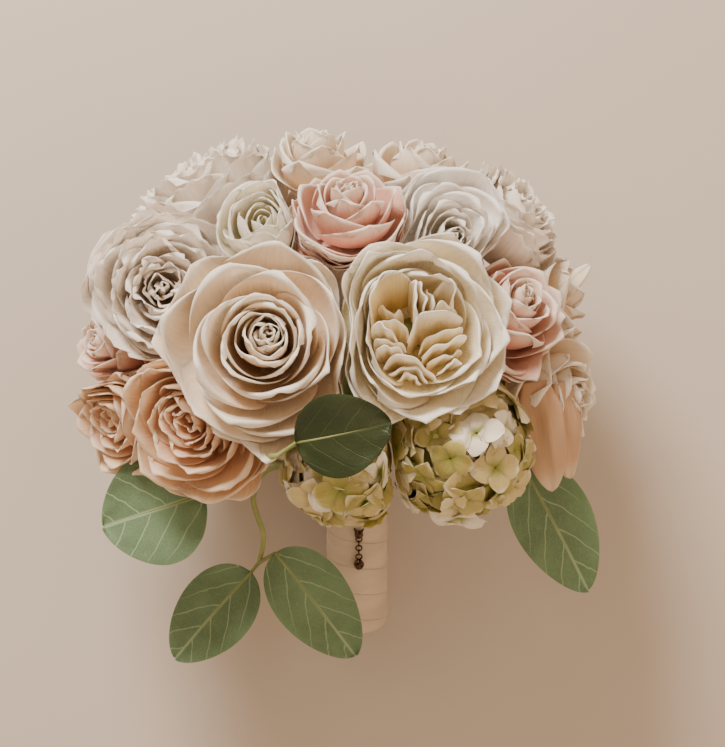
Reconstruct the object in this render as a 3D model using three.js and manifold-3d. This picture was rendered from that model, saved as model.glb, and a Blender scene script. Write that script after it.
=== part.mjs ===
// A hand-tied bridal bouquet of roses, peonies, hydrangea and eucalyptus, with a ribbon-wrapped handle, lying
// on a surface. Millimetres, +Z up, resting on z = 0. Every flower is placed in the bouquet's front view:
// x to the right, y up along the bouquet and z toward whoever looks at it, measured from the head's centre.
// The whole group is then turned a little about X and lifted, so that the flowers at the back of the head and
// the lower end of the handle touch the surface.
import * as THREE from "three";
import { mergeVertices } from "three/addons/utils/BufferGeometryUtils.js";
import Module from "manifold-3d";

const wasm = await Module();
wasm.setup();

const V = (x, y, z) => new THREE.Vector3(x, y, z);
const rad = THREE.MathUtils.degToRad;

// Pose of the bouquet
const AXIS_LEAN = rad(28.5); // the stems' axis leans toward the viewer by this much
const REST_TURN = rad(5.5); // the front view is turned back by this much as the bouquet lies
const REST_HEIGHT = 100; // height of the head's centre above the surface
const AXIS = V(0, Math.cos(AXIS_LEAN), Math.sin(AXIS_LEAN)); // from the handle to the crown of the head
const FRONT = V(0, -Math.sin(AXIS_LEAN), Math.cos(AXIS_LEAN));
const RIGHT = V(1, 0, 0);
const UP = V(0, Math.sin(REST_TURN), Math.cos(REST_TURN)); // away from the surface, in the front view

// Handle
const HANDLE_SHIFT = 10; // the handle stands this far to the right of the head's centre
const WRAP_TOP = 52; // along the axis from the head's centre
const WRAP_INNER = 15.5;
const WRAP_OUTER = 16.8;
const WRAP_SIDES = 18;
const WRAP_LOWEST = WRAP_OUTER * Math.cos(Math.PI / WRAP_SIDES) * Math.cos(AXIS_LEAN + REST_TURN);
const HANDLE_END = (REST_HEIGHT - WRAP_LOWEST) / Math.sin(AXIS_LEAN + REST_TURN); // its lower edge rests on z = 0
const STEM_RADIUS = 2.1;
const SPRAY_RADIUS = 1.9;
const STEM_PITCH = 4.85;
const STEM_END = HANDLE_END - 2; // the cut ends stand 2 mm inside the wrap
const NECK = 27; // the stems flare out above this distance from the head's centre
const NECK_SPREAD = 1.4;
const SLOT_REACH = 12; // a stem that comes in by one radian wants a slot this far from the axis
const SLOT_ROUNDS = 60; // rounds of trading slots between two stems
const STEM_BEND = 0.58; // how far along to the neck a stem has its last bend
const STEM_LIFT = 5; // and how far it bows toward the crown there

// Gaps and thicknesses
const GAP = 0.6; // between two flowers that press on each other
const PETAL = 0.8;
const SEAT = 0.35; // between a flower and the green cup that carries it
const LEAF = 0.8;
const LEAF_SWELL = 0.86; // outline of a blade: where it is widest, how blunt its ends are, how much it narrows
const LEAF_BLUNT = 0.52;
const LEAF_TAPER = 0.16;
const PETAL_CUT = 0.08; // how far below the surface a petal's middle layer is pressed before it is cut there
const FLORET_CUT = 0.2;

const COLOURS = {
  cream: [0xe9d3b4, 0.6],
  ivory: [0xf0e2c4, 0.6],
  white: [0xf0e9e4, 0.6],
  blush: [0xe3b3a0, 0.6],
  peach: [0xe5bd9b, 0.6],
  lemon: [0xe8e0ae, 0.6],
  hydrangea: [0xd2c98e, 0.65],
  stem: [0x6f7f4a, 0.6],
  salal: [0x3f4d1c, 0.4],
  eucalyptus: [0x67774a, 0.65],
  ribbon: [0xc7a585, 0.55],
  pearl: [0xe8ddd0, 0.25],
  bronze: [0x3a2c26, 0.35],
};

// Flowers that show from the front: name, kind, centre, radius, colour, and where it faces if not outward
const FRONT_BLOOMS = [
  ["rose_cream_front", "rose", V(-37, 17, 100), 50, "cream", V(-0.1, 0.16, 1)],
  ["rose_ivory_garden", "cup", V(39, 23, 99), 44, "ivory", V(0.12, 0.04, 1)],
  ["peony_white_crown", "peony", V(-66, 93, 0), 49, "white", V(-0.45, 0.85, 0.15)],
  ["peony_white_left", "peony", V(-87, 45, 48), 40, "white", V(0.15, 0.1, 1)],
  ["rose_pink_left", "rose", V(-114, 17, 20), 37, "blush", V(-0.75, 0.15, 0.55)],
  ["rose_peach_left", "cup", V(-113, -18, 28), 34, "peach", V(-0.75, -0.3, 0.6)],
  ["rose_peach_low", "cup", V(-70, -19, 69), 38, "peach", V(-0.4, -0.2, 0.9)],
  ["ranunculus_lemon", "bud", V(-35, 75, 67), 23, "lemon", V(-0.1, 0.45, 0.9)],
  ["rose_blush_crown", "rose", V(6, 83, 68), 35, "blush", V(0, 0.78, 0.6)],
  ["rose_cream_crown", "rose", V(-12, 113, 13), 36, "cream", V(-0.05, 0.95, 0.3)],
  ["rose_ivory_crown", "rose", V(44, 107, 4), 37, "ivory", V(0.25, 0.95, 0.2)],
  ["rose_white_crown", "cup", V(57, 71, 52), 34, "white", V(0.2, 0.1, 1)],
  ["peony_white_right", "peony", V(88, 82, 2), 40, "white", V(0.7, 0.6, 0.3)],
  ["rose_pink_right", "rose", V(86, 33, 50), 40, "blush", V(0.5, 0.5, 0.7)],
  ["rose_peach_right", "rose", V(111, -6, 24), 41, "peach", V(0.85, -0.1, 0.5)],
  ["hydrangea_front", "hydrangea", V(6, -41, 71), 32, "hydrangea", V(0.05, -0.5, 0.85)],
  ["hydrangea_right", "hydrangea", V(58, -32, 64), 40, "hydrangea", V(0.5, -0.35, 0.8)],
  ["rose_cream_right", "rose", V(113, 48, -8), 35, "cream", V(0.9, 0.35, 0)],
];

// Flowers at the back: name, kind, angle from the crown, angle round the axis from the front, distance, radius
const BACK_BLOOMS = [
  ["rose_cream_back", "rose", 61, 152, 100, 42, "cream"],
  ["rose_blush_back", "rose", 62, 201, 100, 43, "blush"],
  ["rose_peach_back", "rose", 94, 114, 98, 39, "peach"],
  ["hydrangea_back_right", "hydrangea", 96, 147, 98, 39, "hydrangea"],
  ["peony_white_back", "peony", 96, 181, 93, 38, "white"],
  ["rose_ivory_back_left", "rose", 95, 214, 98, 41, "ivory"],
  ["rose_blush_back_left", "rose", 88, 246, 98, 41, "blush"],
];

// Long petals that hang or stand out from a flower: base, tip, where the face looks, half width
const HANGING_PETALS = {
  rose_cream_right: [{ base: V(111, 37, 2), tip: V(133, 60, 5), face: V(-0.3, 0.3, 1), half: 6 }],
  rose_peach_right: [
    { base: V(100, -2, 50), tip: V(110, -58, 40), face: V(-0.2, 0.2, 1), half: 13 },
    { base: V(115, -2, 42), tip: V(120, -52, 32), face: V(0.6, 0.1, 0.8), half: 11 },
  ],
};

// The green stem of each flower. Two flowers on one line grow on one branched stem.
const STEMS = [
  ["stem_rose_cream_front", ["rose_cream_front"]],
  ["stem_rose_ivory_garden", ["rose_ivory_garden"]],
  ["stem_peony_crown", ["peony_white_crown"]],
  ["stem_peony_left", ["peony_white_left"]],
  ["stem_spray_left", ["rose_pink_left", "rose_peach_left"]],
  ["stem_rose_peach_low", ["rose_peach_low"]],
  ["stem_ranunculus", ["ranunculus_lemon"]],
  ["stem_rose_blush_crown", ["rose_blush_crown"]],
  ["stem_rose_cream_crown", ["rose_cream_crown"]],
  ["stem_rose_ivory_crown", ["rose_ivory_crown"]],
  ["stem_rose_white_crown", ["rose_white_crown"]],
  ["stem_peony_right", ["peony_white_right"]],
  ["stem_rose_pink_right", ["rose_pink_right"]],
  ["stem_rose_peach_right", ["rose_peach_right"]],
  ["stem_hydrangea_front", ["hydrangea_front"]],
  ["stem_hydrangea_right", ["hydrangea_right"]],
  ["stem_spray_right", ["rose_cream_right", "rose_peach_back"]],
  ["stem_rose_cream_back", ["rose_cream_back"]],
  ["stem_rose_blush_back", ["rose_blush_back"]],
  ["stem_hydrangea_back", ["hydrangea_back_right"]],
  ["stem_peony_back", ["peony_white_back"]],
  ["stem_spray_back", ["rose_ivory_back_left", "rose_blush_back_left"]],
];

// Sprays of foliage: the way of the main stalk from its top leaf down to the neck of the bouquet, and for each
// leaf the base and tip of its blade, where it faces and its half width. It grows from the nearest joint.
const SPRAYS = [
  {
    name: "leaf_salal_front",
    colour: "salal",
    way: [V(-28, -37, 111), V(-36, -38, 92), V(-37, -39, 64), V(-22, -44, 34)],
    leaves: [{ base: V(-18.5, -30.5, 114), tip: V(26.5, -20.5, 118), face: V(0.08, -0.2, 1), half: 22 }],
  },
  {
    name: "eucalyptus_left",
    colour: "eucalyptus",
    way: [V(-42, -98, 0), V(-39, -84, 8), V(-44, -62, 18), V(-38, -49, 19), V(-6, -42, 8)],
    leaves: [
      { base: V(-46, -103, -1), tip: V(-87, -150, -12), face: V(-0.15, 0.1, 1), half: 22 },
      { base: V(-33, -92, 8), tip: V(9, -147, 0), face: V(0.15, 0.1, 1), half: 22 },
      { base: V(-68, -60, 31), tip: V(-121, -77, 24), face: V(-0.1, 0.1, 1), half: 32 },
    ],
  },
  {
    name: "eucalyptus_right",
    colour: "eucalyptus",
    way: [V(91, -42, 21), V(82, -42, 15), V(60, -46, 5), V(34, -45, -5)],
    leaves: [{ base: V(96, -45, 21), tip: V(131, -111, 12), face: V(0.1, 0.1, 1), half: 23 }],
  },
];

// Petal profiles from the foot to the tip, as shares of the bloom's radius and depth: the innermost, a middle
// and the outermost petal. The reach is how far round the bloom such a petal goes to each side, in radians. The
// core is the bloom's rolled middle, which the petals stand on, the inner ones higher up.
const KINDS = {
  rose: {
    inner: [[0.14, 0.4], [0.24, 0.5], [0.3, 0.85], [0.24, 1.0]],
    middle: [[0.14, 0.22], [0.44, 0.14], [0.52, 0.68], [0.62, 0.96]],
    outer: [[0.14, 0.08], [0.66, 0.0], [0.92, 0.36], [1.0, 0.6]],
    reach: [1.5, 1.1, 0.92],
    first: 0.22,
    count: 6,
    depth: 0.95,
    ruffle: 0,
    core: [[0.19, 0.03], [0.2, 0.3], [0.19, 0.7], [0.13, 0.97]],
  },
  cup: {
    inner: [[0.15, 0.32], [0.26, 0.36], [0.34, 0.7], [0.38, 0.82]],
    middle: [[0.14, 0.2], [0.52, 0.1], [0.66, 0.55], [0.64, 0.84]],
    outer: [[0.14, 0.08], [0.74, 0.0], [1.0, 0.4], [0.94, 0.84]],
    reach: [1.0, 0.95, 0.9],
    first: 0.12,
    count: 6,
    depth: 0.95,
    ruffle: 0.03,
    core: [[0.19, 0.03], [0.21, 0.25], [0.22, 0.5], [0.13, 0.7]],
  },
  peony: {
    inner: [[0.16, 0.36], [0.3, 0.5], [0.34, 0.9], [0.3, 1.06]],
    middle: [[0.15, 0.2], [0.5, 0.12], [0.66, 0.6], [0.72, 0.98]],
    outer: [[0.14, 0.08], [0.75, 0.0], [1.0, 0.4], [0.98, 0.74]],
    reach: [0.9, 0.85, 0.85],
    first: 0.1,
    count: 6,
    depth: 1.05,
    ruffle: 0.05,
    core: [[0.19, 0.03], [0.22, 0.3], [0.27, 0.62], [0.15, 0.86]],
  },
  bud: {
    inner: [[0.22, 0.3], [0.4, 0.36], [0.5, 0.85], [0.3, 1.0]],
    middle: [[0.2, 0.18], [0.6, 0.12], [0.8, 0.75], [0.52, 1.0]],
    outer: [[0.19, 0.08], [0.8, 0.0], [1.06, 0.6], [0.84, 0.96]],
    reach: [1.1, 1.0, 0.9],
    first: 0.3,
    count: 5,
    depth: 1.3,
    ruffle: 0.01,
    core: [[0.24, 0.03], [0.3, 0.3], [0.4, 0.7], [0.26, 0.9]],
  },
};
const GOLDEN = Math.PI * (3 - Math.sqrt(5));
const BIG = 43.5; // a bloom with a radius above this has two more petals, and finer outer ones
const FLORETS = 13;
const HYDRANGEA_CORE = 0.64; // radius of the core of a hydrangea's head, as a share of the head's

// Seeded random numbers, so that every build is the same
function randomFrom(seed) {
  let a = seed >>> 0;
  return () => {
    a = (a + 0x6d2b79f5) >>> 0;
    let t = Math.imul(a ^ (a >>> 15), 1 | a);
    t = (t + Math.imul(t ^ (t >>> 7), 61 | t)) ^ t;
    return ((t ^ (t >>> 14)) >>> 0) / 4294967296;
  };
}

const lerp = (a, b, t) => a + (b - a) * t;
const bezier = (p, t) => {
  const u = 1 - t;
  return u * u * u * p[0] + 3 * u * u * t * p[1] + 3 * u * t * t * p[2] + t * t * t * p[3];
};
const blend3 = (a, b, c, f) => (f < 0.5 ? lerp(a, b, 2 * f) : lerp(b, c, 2 * f - 1));

// Solids
function solid(geometry) {
  geometry.deleteAttribute("normal");
  geometry.deleteAttribute("uv");
  const merged = mergeVertices(geometry, 1e-4);
  const made = new wasm.Manifold(
    new wasm.Mesh({
      numProp: 3,
      vertProperties: new Float32Array(merged.attributes.position.array),
      triVerts: new Uint32Array(merged.index.array),
    }),
  );
  if (made.volume() >= 0) return made;
  const turned = new Uint32Array(merged.index.array).reverse();
  return new wasm.Manifold(
    new wasm.Mesh({ numProp: 3, vertProperties: new Float32Array(merged.attributes.position.array), triVerts: turned }),
  );
}

const join = (solids) => solids.reduce((a, b) => a.add(b));

function geometryOf(points, faces) {
  return new THREE.BufferGeometry()
    .setAttribute("position", new THREE.Float32BufferAttribute(points.flatMap((p) => [p.x, p.y, p.z]), 3))
    .setIndex(faces);
}

function toGeometry(made) {
  const m = made.getMesh();
  return new THREE.BufferGeometry()
    .setAttribute("position", new THREE.BufferAttribute(new Float32Array(m.vertProperties), 3))
    .setIndex(new THREE.BufferAttribute(new Uint32Array(m.triVerts), 1));
}

// A thin blade round a grid of points: rows[j][i], the same triangles on both faces
function blade(rows, thickness) {
  const across = rows[0].length - 1;
  const along = rows.length - 1;
  const at = (i, j) => j * (across + 1) + i;
  const count = (across + 1) * (along + 1);
  const top = [];
  const bottom = [];
  for (let j = 0; j <= along; j++)
    for (let i = 0; i <= across; i++) {
      const du = rows[j][Math.min(i + 1, across)].clone().sub(rows[j][Math.max(i - 1, 0)]);
      const dv = rows[Math.min(j + 1, along)][i].clone().sub(rows[Math.max(j - 1, 0)][i]);
      const n = du.cross(dv).normalize().multiplyScalar(thickness / 2);
      top.push(rows[j][i].clone().add(n));
      bottom.push(rows[j][i].clone().sub(n));
    }
  const faces = [];
  for (let j = 0; j < along; j++)
    for (let i = 0; i < across; i++) {
      const [a, b, c, d] = [at(i, j), at(i + 1, j), at(i + 1, j + 1), at(i, j + 1)];
      const halves = 2 * i < across ? [[a, b, d], [b, c, d]] : [[a, b, c], [a, c, d]];
      for (const [p, q, r] of halves) faces.push(p, q, r, p + count, r + count, q + count);
    }
  const rim = [];
  for (let i = 0; i < across; i++) rim.push(at(i, 0));
  for (let j = 0; j < along; j++) rim.push(at(across, j));
  for (let i = across; i > 0; i--) rim.push(at(i, along));
  for (let j = along; j > 0; j--) rim.push(at(0, j));
  rim.forEach((p, k) => {
    const q = rim[(k + 1) % rim.length];
    faces.push(p, p + count, q + count, p, q + count, q);
  });
  return solid(geometryOf([...top, ...bottom], faces));
}

function tube(points, radius, sides, steps) {
  const corners = Array.from({ length: sides }, (_, k) => {
    const a = (2 * Math.PI * k) / sides;
    return new THREE.Vector2(radius * Math.cos(a), radius * Math.sin(a));
  });
  const path = points.length === 2 ? new THREE.LineCurve3(...points) : new THREE.CatmullRomCurve3(points);
  return solid(
    new THREE.ExtrudeGeometry(new THREE.Shape(corners), { steps, bevelEnabled: false, extrudePath: path }),
  );
}

// A star of pointed lobes with notches between, on a cone that ends at its foot. A point of it is given by
// place(x, y, z), with z along the star's axis.
function starPoints(place, { size, notch, lobes, rise, dome, foot }) {
  const points = [];
  for (let k = 0; k < 2 * lobes; k++) {
    const a = (Math.PI * k) / lobes;
    const r = k % 2 ? size : notch * size;
    points.push(place(r * Math.cos(a), r * Math.sin(a), k % 2 ? rise : 0));
  }
  points.push(place(0, 0, dome), place(0, 0, -foot));
  return points;
}

function starSolid(points) {
  const n = points.length - 2;
  const faces = [];
  for (let k = 0; k < n; k++) faces.push(k, (k + 1) % n, n, (k + 1) % n, k, n + 1);
  return solid(geometryOf(points, faces));
}

// Blooms: centre, facing and the frame that its petals are made in
function bloomOf([name, kind, centre, radius, colour, facing]) {
  const d = (facing || centre).clone().normalize();
  const e1 = AXIS.clone().cross(d).normalize();
  const e2 = d.clone().cross(e1);
  const depth = kind === "hydrangea" ? 2 * (HYDRANGEA_CORE * radius + SEAT) : radius * KINDS[kind].depth;
  const base = centre.clone().addScaledVector(d, -0.5 * depth);
  const place = (x, y, z) => base.clone().addScaledVector(e1, x).addScaledVector(e2, y).addScaledVector(d, z);
  return { name, kind, centre, radius, colour, d, e1, e2, depth, base, place };
}

function backBloom([name, kind, fromCrown, around, distance, radius, colour]) {
  const a = rad(fromCrown);
  const b = rad(around);
  const centre = AXIS.clone().multiplyScalar(Math.cos(a))
    .addScaledVector(FRONT, Math.sin(a) * Math.cos(b))
    .addScaledVector(RIGHT, Math.sin(a) * Math.sin(b))
    .multiplyScalar(distance);
  return { ...bloomOf([name, kind, centre, radius, colour]), atBack: true };
}

const blooms = [...FRONT_BLOOMS.map(bloomOf), ...BACK_BLOOMS.map(backBloom)];

// Planes that keep two touching blooms apart: a point p is inside where normal.p <= offset
function planesOf(bloom) {
  const planes = blooms
    .filter((other) => other !== bloom)
    .map((other) => {
      const normal = other.centre.clone().sub(bloom.centre);
      const distance = normal.length();
      normal.divideScalar(distance);
      const share = (distance * distance + bloom.radius ** 2 - other.radius ** 2) / (2 * distance);
      return { distance, reach: bloom.radius + other.radius, normal, offset: normal.dot(bloom.centre) + share };
    })
    .filter((p) => p.distance < 1.25 * p.reach);
  for (const p of planes) p.offset -= (GAP + PETAL) / 2;
  const sunk = bloom.kind === "hydrangea" ? FLORET_CUT : PETAL_CUT;
  planes.push({ normal: UP.clone().negate(), offset: REST_HEIGHT + sunk });
  return planes;
}

// Petals that reach past a plane are pressed back inside it, the nearer the more, without crossing each other
function press(points, planes) {
  for (const { normal, offset } of planes) {
    const past = Math.max(...points.map((p) => normal.dot(p) - offset));
    if (past <= 0) continue;
    const zone = Math.max(5, 1.3 * past);
    const q = (zone + past) / zone;
    for (const p of points) {
      const s = offset - normal.dot(p);
      if (s >= zone) continue;
      const t = (zone - s) / (zone + past);
      p.addScaledVector(normal, s - zone * (1 - (q * t - (q - 1) * t * t)));
    }
  }
  for (let round = 0; round < 4; round++)
    for (const { normal, offset } of planes)
      for (const p of points) {
        const s = offset - normal.dot(p);
        if (s < 0) p.addScaledVector(normal, s);
      }
}

function petalRows(bloom, kind, f, turn, across, along, random) {
  const { radius, depth, place } = bloom;
  const control = [0, 1].map((c) =>
    [0, 1, 2, 3].map((i) => blend3(kind.inner[i][c], kind.middle[i][c], kind.outer[i][c], f)),
  );
  const reach = blend3(...kind.reach, f);
  const phase = 6.28 * random();
  const rows = [];
  for (let j = 0; j <= along; j++) {
    const row = [];
    const t = (j / along) ** 0.85;
    for (let i = 0; i <= across; i++) {
      const s = (2 * i) / across - 1;
      const tt = t * (1 - 0.2 * Math.abs(s) ** 3);
      const wave = kind.ruffle * t * t * Math.sin(5 * s + phase);
      const rho = radius * (bezier(control[0], tt) * (1 + 0.06 * s) + wave);
      const z = depth * (bezier(control[1], tt) + 0.5 * wave);
      const phi = turn + s * reach * Math.sin(Math.PI * (0.16 + 0.56 * t));
      row.push(place(rho * Math.cos(phi), rho * Math.sin(phi), z));
    }
    rows.push(row);
  }
  return rows;
}

// The centre of a bloom, still rolled: a bud with a spiral ridge
function coreSolid(bloom, kind, planes, sides) {
  const points = [bloom.place(0, 0, SEAT)];
  kind.core.forEach(([r, h], j) => {
    for (let k = 0; k < sides; k++) {
      const a = (2 * Math.PI * k) / sides;
      const ridge = 1 + (j > 0 ? 0.1 * Math.sin(2 * a + 2.4 * j) : 0);
      points.push(bloom.place(bloom.radius * r * ridge * Math.cos(a), bloom.radius * r * ridge * Math.sin(a), bloom.depth * h));
    }
  });
  const last = kind.core[kind.core.length - 1];
  points.push(bloom.place(0, 0, bloom.depth * (last[1] - 0.06)));
  press(points, planes);
  const faces = [];
  const rings = kind.core.length;
  const at = (j, k) => 1 + j * sides + (k % sides);
  for (let k = 0; k < sides; k++) {
    faces.push(0, at(0, k + 1), at(0, k));
    for (let j = 0; j < rings - 1; j++)
      faces.push(at(j, k), at(j, k + 1), at(j + 1, k + 1), at(j, k), at(j + 1, k + 1), at(j + 1, k));
    faces.push(at(rings - 1, k), at(rings - 1, k + 1), points.length - 1);
  }
  return solid(geometryOf(points, faces));
}

function petalBloom(bloom, random) {
  const kind = KINDS[bloom.kind];
  const planes = planesOf(bloom);
  const big = bloom.radius > BIG;
  const count = kind.count + (big ? 2 : 0) - (bloom.atBack ? 1 : 0);
  const grids = [];
  for (let k = 0; k < count; k++) {
    const f = lerp(kind.first, 1, k / (count - 1));
    const fine = big && f > 0.5;
    const across = fine ? 4 : f < 0.3 && !big ? 2 : 3;
    grids.push(petalRows(bloom, kind, f, k * GOLDEN + 1, across, fine ? 3 : 2, random));
  }
  press(grids.flat(2), planes);
  const petals = grids.map((rows) => blade(rows, PETAL));
  for (const petal of HANGING_PETALS[bloom.name] || []) petals.push(leafBlade(petal, PETAL, 1));
  return join([coreSolid(bloom, kind, planes, 5), ...petals]);
}

function hydrangea(bloom, random) {
  const planes = planesOf(bloom);
  const middle = bloom.place(0, 0, 0.5 * bloom.depth);
  const core = new THREE.IcosahedronGeometry(HYDRANGEA_CORE * bloom.radius, 1);
  const position = core.attributes.position;
  const corner = V().fromBufferAttribute(position, 0).normalize();
  core.applyQuaternion(new THREE.Quaternion().setFromUnitVectors(corner, bloom.d));
  const corePoints = Array.from({ length: position.count }, (_, i) => V().fromBufferAttribute(position, i).add(middle));
  press(corePoints, planes);
  corePoints.forEach((p, i) => position.setXYZ(i, p.x, p.y, p.z));
  const solids = [solid(core)];
  for (let k = 0; k < FLORETS; k++) {
    const up = 1 - (1.6 * (k + 0.5)) / FLORETS;
    const side = Math.sqrt(1 - up * up);
    const a = k * GOLDEN;
    const out = bloom.d.clone().multiplyScalar(up)
      .addScaledVector(bloom.e1, side * Math.cos(a))
      .addScaledVector(bloom.e2, side * Math.sin(a));
    const x = bloom.e1.clone().addScaledVector(out, -out.dot(bloom.e1)).normalize().applyAxisAngle(out, 1.6 * random());
    const y = out.clone().cross(x);
    const distance = bloom.radius * lerp(0.86, 0.98, random());
    const at = middle.clone().addScaledVector(out, distance);
    const place = (px, py, pz) => at.clone().addScaledVector(x, px).addScaledVector(y, py).addScaledVector(out, pz);
    const size = 0.42 * bloom.radius;
    const points = starPoints(place, { size, notch: 0.6, lobes: 4, rise: -0.06 * size, dome: 1.5, foot: distance - 0.5 * bloom.radius });
    press(points, planes);
    solids.push(starSolid(points));
  }
  return join(solids);
}

// Everything below the surface that the bouquet lies on is cut away, which leaves the flat spots it rests on
function belowSurface() {
  const box = new THREE.BoxGeometry(600, 600, 60);
  box.applyMatrix4(
    new THREE.Matrix4().makeRotationX(-REST_TURN)
      .multiply(new THREE.Matrix4().makeTranslation(0, 0, -REST_HEIGHT - 30)),
  );
  return solid(box);
}

// Stems: a hexagonal bundle in the handle, each slot used once
const handleAt = (along, x, y) =>
  V(HANDLE_SHIFT, 0, 0).addScaledVector(AXIS, -along).addScaledVector(RIGHT, x).addScaledVector(FRONT, y);

function bundleSlots(count) {
  const slots = [];
  for (let a = -3; a <= 3; a++)
    for (let b = -3; b <= 3; b++)
      slots.push([STEM_PITCH * (a + b / 2), (STEM_PITCH * b * Math.sqrt(3)) / 2]);
  const order = ([x, y]) => Math.hypot(x, y) + 0.001 * Math.atan2(y, x);
  const near = slots.sort((p, q) => order(p) - order(q));
  const full = near.slice(0, 19);
  const outer = near.slice(19, 31).filter((_, k) => k % 2 === 0);
  return [...full, ...outer].slice(0, count);
}

// Where a stem comes from, seen along the axis
function direction(p) {
  const rel = p.clone().sub(V(HANDLE_SHIFT, 0, 0));
  const x = rel.dot(RIGHT);
  const y = rel.dot(FRONT);
  const lift = Math.atan2(Math.hypot(x, y), Math.max(rel.dot(AXIS) + NECK, 1));
  const flat = Math.hypot(x, y) || 1;
  return [(SLOT_REACH * lift * x) / flat, (SLOT_REACH * lift * y) / flat];
}

function assignSlots(starts) {
  const slots = bundleSlots(starts.length);
  const wish = starts.map(direction);
  const cost = (k, s) => (wish[k][0] - slots[s][0]) ** 2 + (wish[k][1] - slots[s][1]) ** 2;
  const chosen = starts.map((_, k) => k);
  for (let round = 0; round < SLOT_ROUNDS; round++)
    for (let i = 0; i < chosen.length; i++)
      for (let j = i + 1; j < chosen.length; j++)
        if (cost(i, chosen[j]) + cost(j, chosen[i]) < cost(i, chosen[i]) + cost(j, chosen[j]) - 1e-9)
          [chosen[i], chosen[j]] = [chosen[j], chosen[i]];
  return chosen.map((s) => slots[s]);
}

const byName = new Map(blooms.map((b) => [b.name, b]));
const stemStarts = [
  ...STEMS.map(([, names]) => {
    const bases = names.map((n) => byName.get(n).base);
    return bases.reduce((a, b) => a.clone().add(b)).clone().divideScalar(bases.length);
  }),
  ...SPRAYS.map((s) => s.way[s.way.length - 1].clone().multiplyScalar(2)),
];
const slots = assignSlots(stemStarts);

// From the neck down: the bundle narrows into the wrap and runs straight to the cut ends
const neckPath = ([x, y]) => [
  handleAt(NECK, NECK_SPREAD * x, NECK_SPREAD * y),
  handleAt(WRAP_TOP - 9, x, y),
  handleAt((WRAP_TOP + STEM_END) / 2, x, y),
  handleAt(STEM_END, x, y),
];

// The green cup under a flower, with its five sepals
function calyx(bloom) {
  const size = 0.2 * bloom.radius + 5;
  return starSolid(starPoints(bloom.place, { size, notch: 0.45, lobes: 5, rise: -0.3 * size, dome: 0, foot: 7 }));
}

function stemSolid(names, slot) {
  const solids = [];
  const neck = neckPath(slot);
  const fork = neck[0];
  names.forEach((name, k) => {
    const bloom = byName.get(name);
    const top = bloom.place(0, 0, -3);
    const under = bloom.place(0, 0, -16);
    const inward = under.clone().lerp(fork, STEM_BEND).addScaledVector(AXIS, STEM_LIFT);
    const points = k === 0 ? [top, under, inward, ...neck] : [top, under, inward, fork.clone().lerp(neck[1], 0.3)];
    solids.push(tube(points, k === 0 ? STEM_RADIUS : STEM_RADIUS * 0.9, 4, k === 0 ? 6 : 4));
    solids.push(calyx(bloom));
  });
  return join(solids);
}

// Leaves: an egg-shaped blade with a short point, folded a little along its rib
function leafBlade({ base, tip, face, half }, thickness, folds) {
  const along = tip.clone().sub(base);
  const side = along.clone().cross(face).normalize();
  const up = side.clone().cross(along).normalize();
  const steps = 4;
  const rows = [];
  for (let j = 0; j <= steps; j++) {
    const t = j / steps;
    const round = Math.max(0, Math.sin(Math.PI * t ** LEAF_SWELL)) ** LEAF_BLUNT;
    const width = Math.max(0.06, round * (1 - LEAF_TAPER * t)) * half;
    const row = [];
    for (let i = -folds; i <= folds; i++) {
      const s = i / folds;
      const lift = 0.1 * half * Math.abs(s) + 0.12 * half * Math.sin(Math.PI * t);
      row.push(base.clone().addScaledVector(along, t).addScaledVector(side, -s * width).addScaledVector(up, lift));
    }
    rows.push(row);
  }
  return blade(rows, thickness);
}

function spraySolid(spray, slot) {
  const way = [...spray.way, ...neckPath(slot)];
  const steps = 10;
  const solids = [tube(way, SPRAY_RADIUS, 4, steps)];
  const joints = new THREE.CatmullRomCurve3(way).getSpacedPoints(steps);
  for (const leaf of spray.leaves) {
    const inBlade = leaf.base.clone().lerp(leaf.tip, 0.08);
    const from = joints.reduce((a, b) => (b.distanceTo(leaf.base) < a.distanceTo(leaf.base) ? b : a));
    solids.push(tube([from, leaf.base, inBlade], 1, 4, 2), leafBlade(leaf, LEAF, 2));
  }
  return join(solids);
}

// The ribbon round the handle
function wrapSolid() {
  const sides = WRAP_SIDES;
  const rings = [
    [WRAP_INNER, WRAP_TOP],
    [WRAP_OUTER, WRAP_TOP],
    [WRAP_OUTER, HANDLE_END],
    [WRAP_INNER, HANDLE_END],
  ];
  const points = [];
  for (const [r, along] of rings)
    for (let k = 0; k < sides; k++) {
      const a = (2 * Math.PI * k) / sides;
      points.push(handleAt(along, r * Math.cos(a), r * Math.sin(a)));
    }
  const faces = [];
  for (let j = 0; j < 4; j++)
    for (let k = 0; k < sides; k++) {
      const [a, b] = [j * sides + k, j * sides + ((k + 1) % sides)];
      const [c, d] = [((j + 1) % 4) * sides + ((k + 1) % sides), ((j + 1) % 4) * sides + k];
      faces.push(a, b, c, a, c, d);
    }
  return solid(geometryOf(points, faces));
}

// Pins and charm on the front of the wrap
const onWrap = (along, aroundDeg, out) =>
  handleAt(along, (WRAP_OUTER + out) * Math.sin(rad(aroundDeg)), (WRAP_OUTER + out) * Math.cos(rad(aroundDeg)));

function ball(at, radius, detail) {
  const g = new THREE.IcosahedronGeometry(radius, detail);
  g.translate(at.x, at.y, at.z);
  return solid(g);
}

// A chain link lying along the handle, flat on it or standing on edge
function link(at, onEdge) {
  const g = new THREE.TorusGeometry(onEdge ? 1.5 : 1.65, 0.48, 4, 6);
  const normal = onEdge ? RIGHT : FRONT;
  g.applyMatrix4(new THREE.Matrix4().makeBasis(AXIS, normal.clone().cross(AXIS), normal));
  g.translate(at.x, at.y, at.z);
  return solid(g);
}

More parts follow.
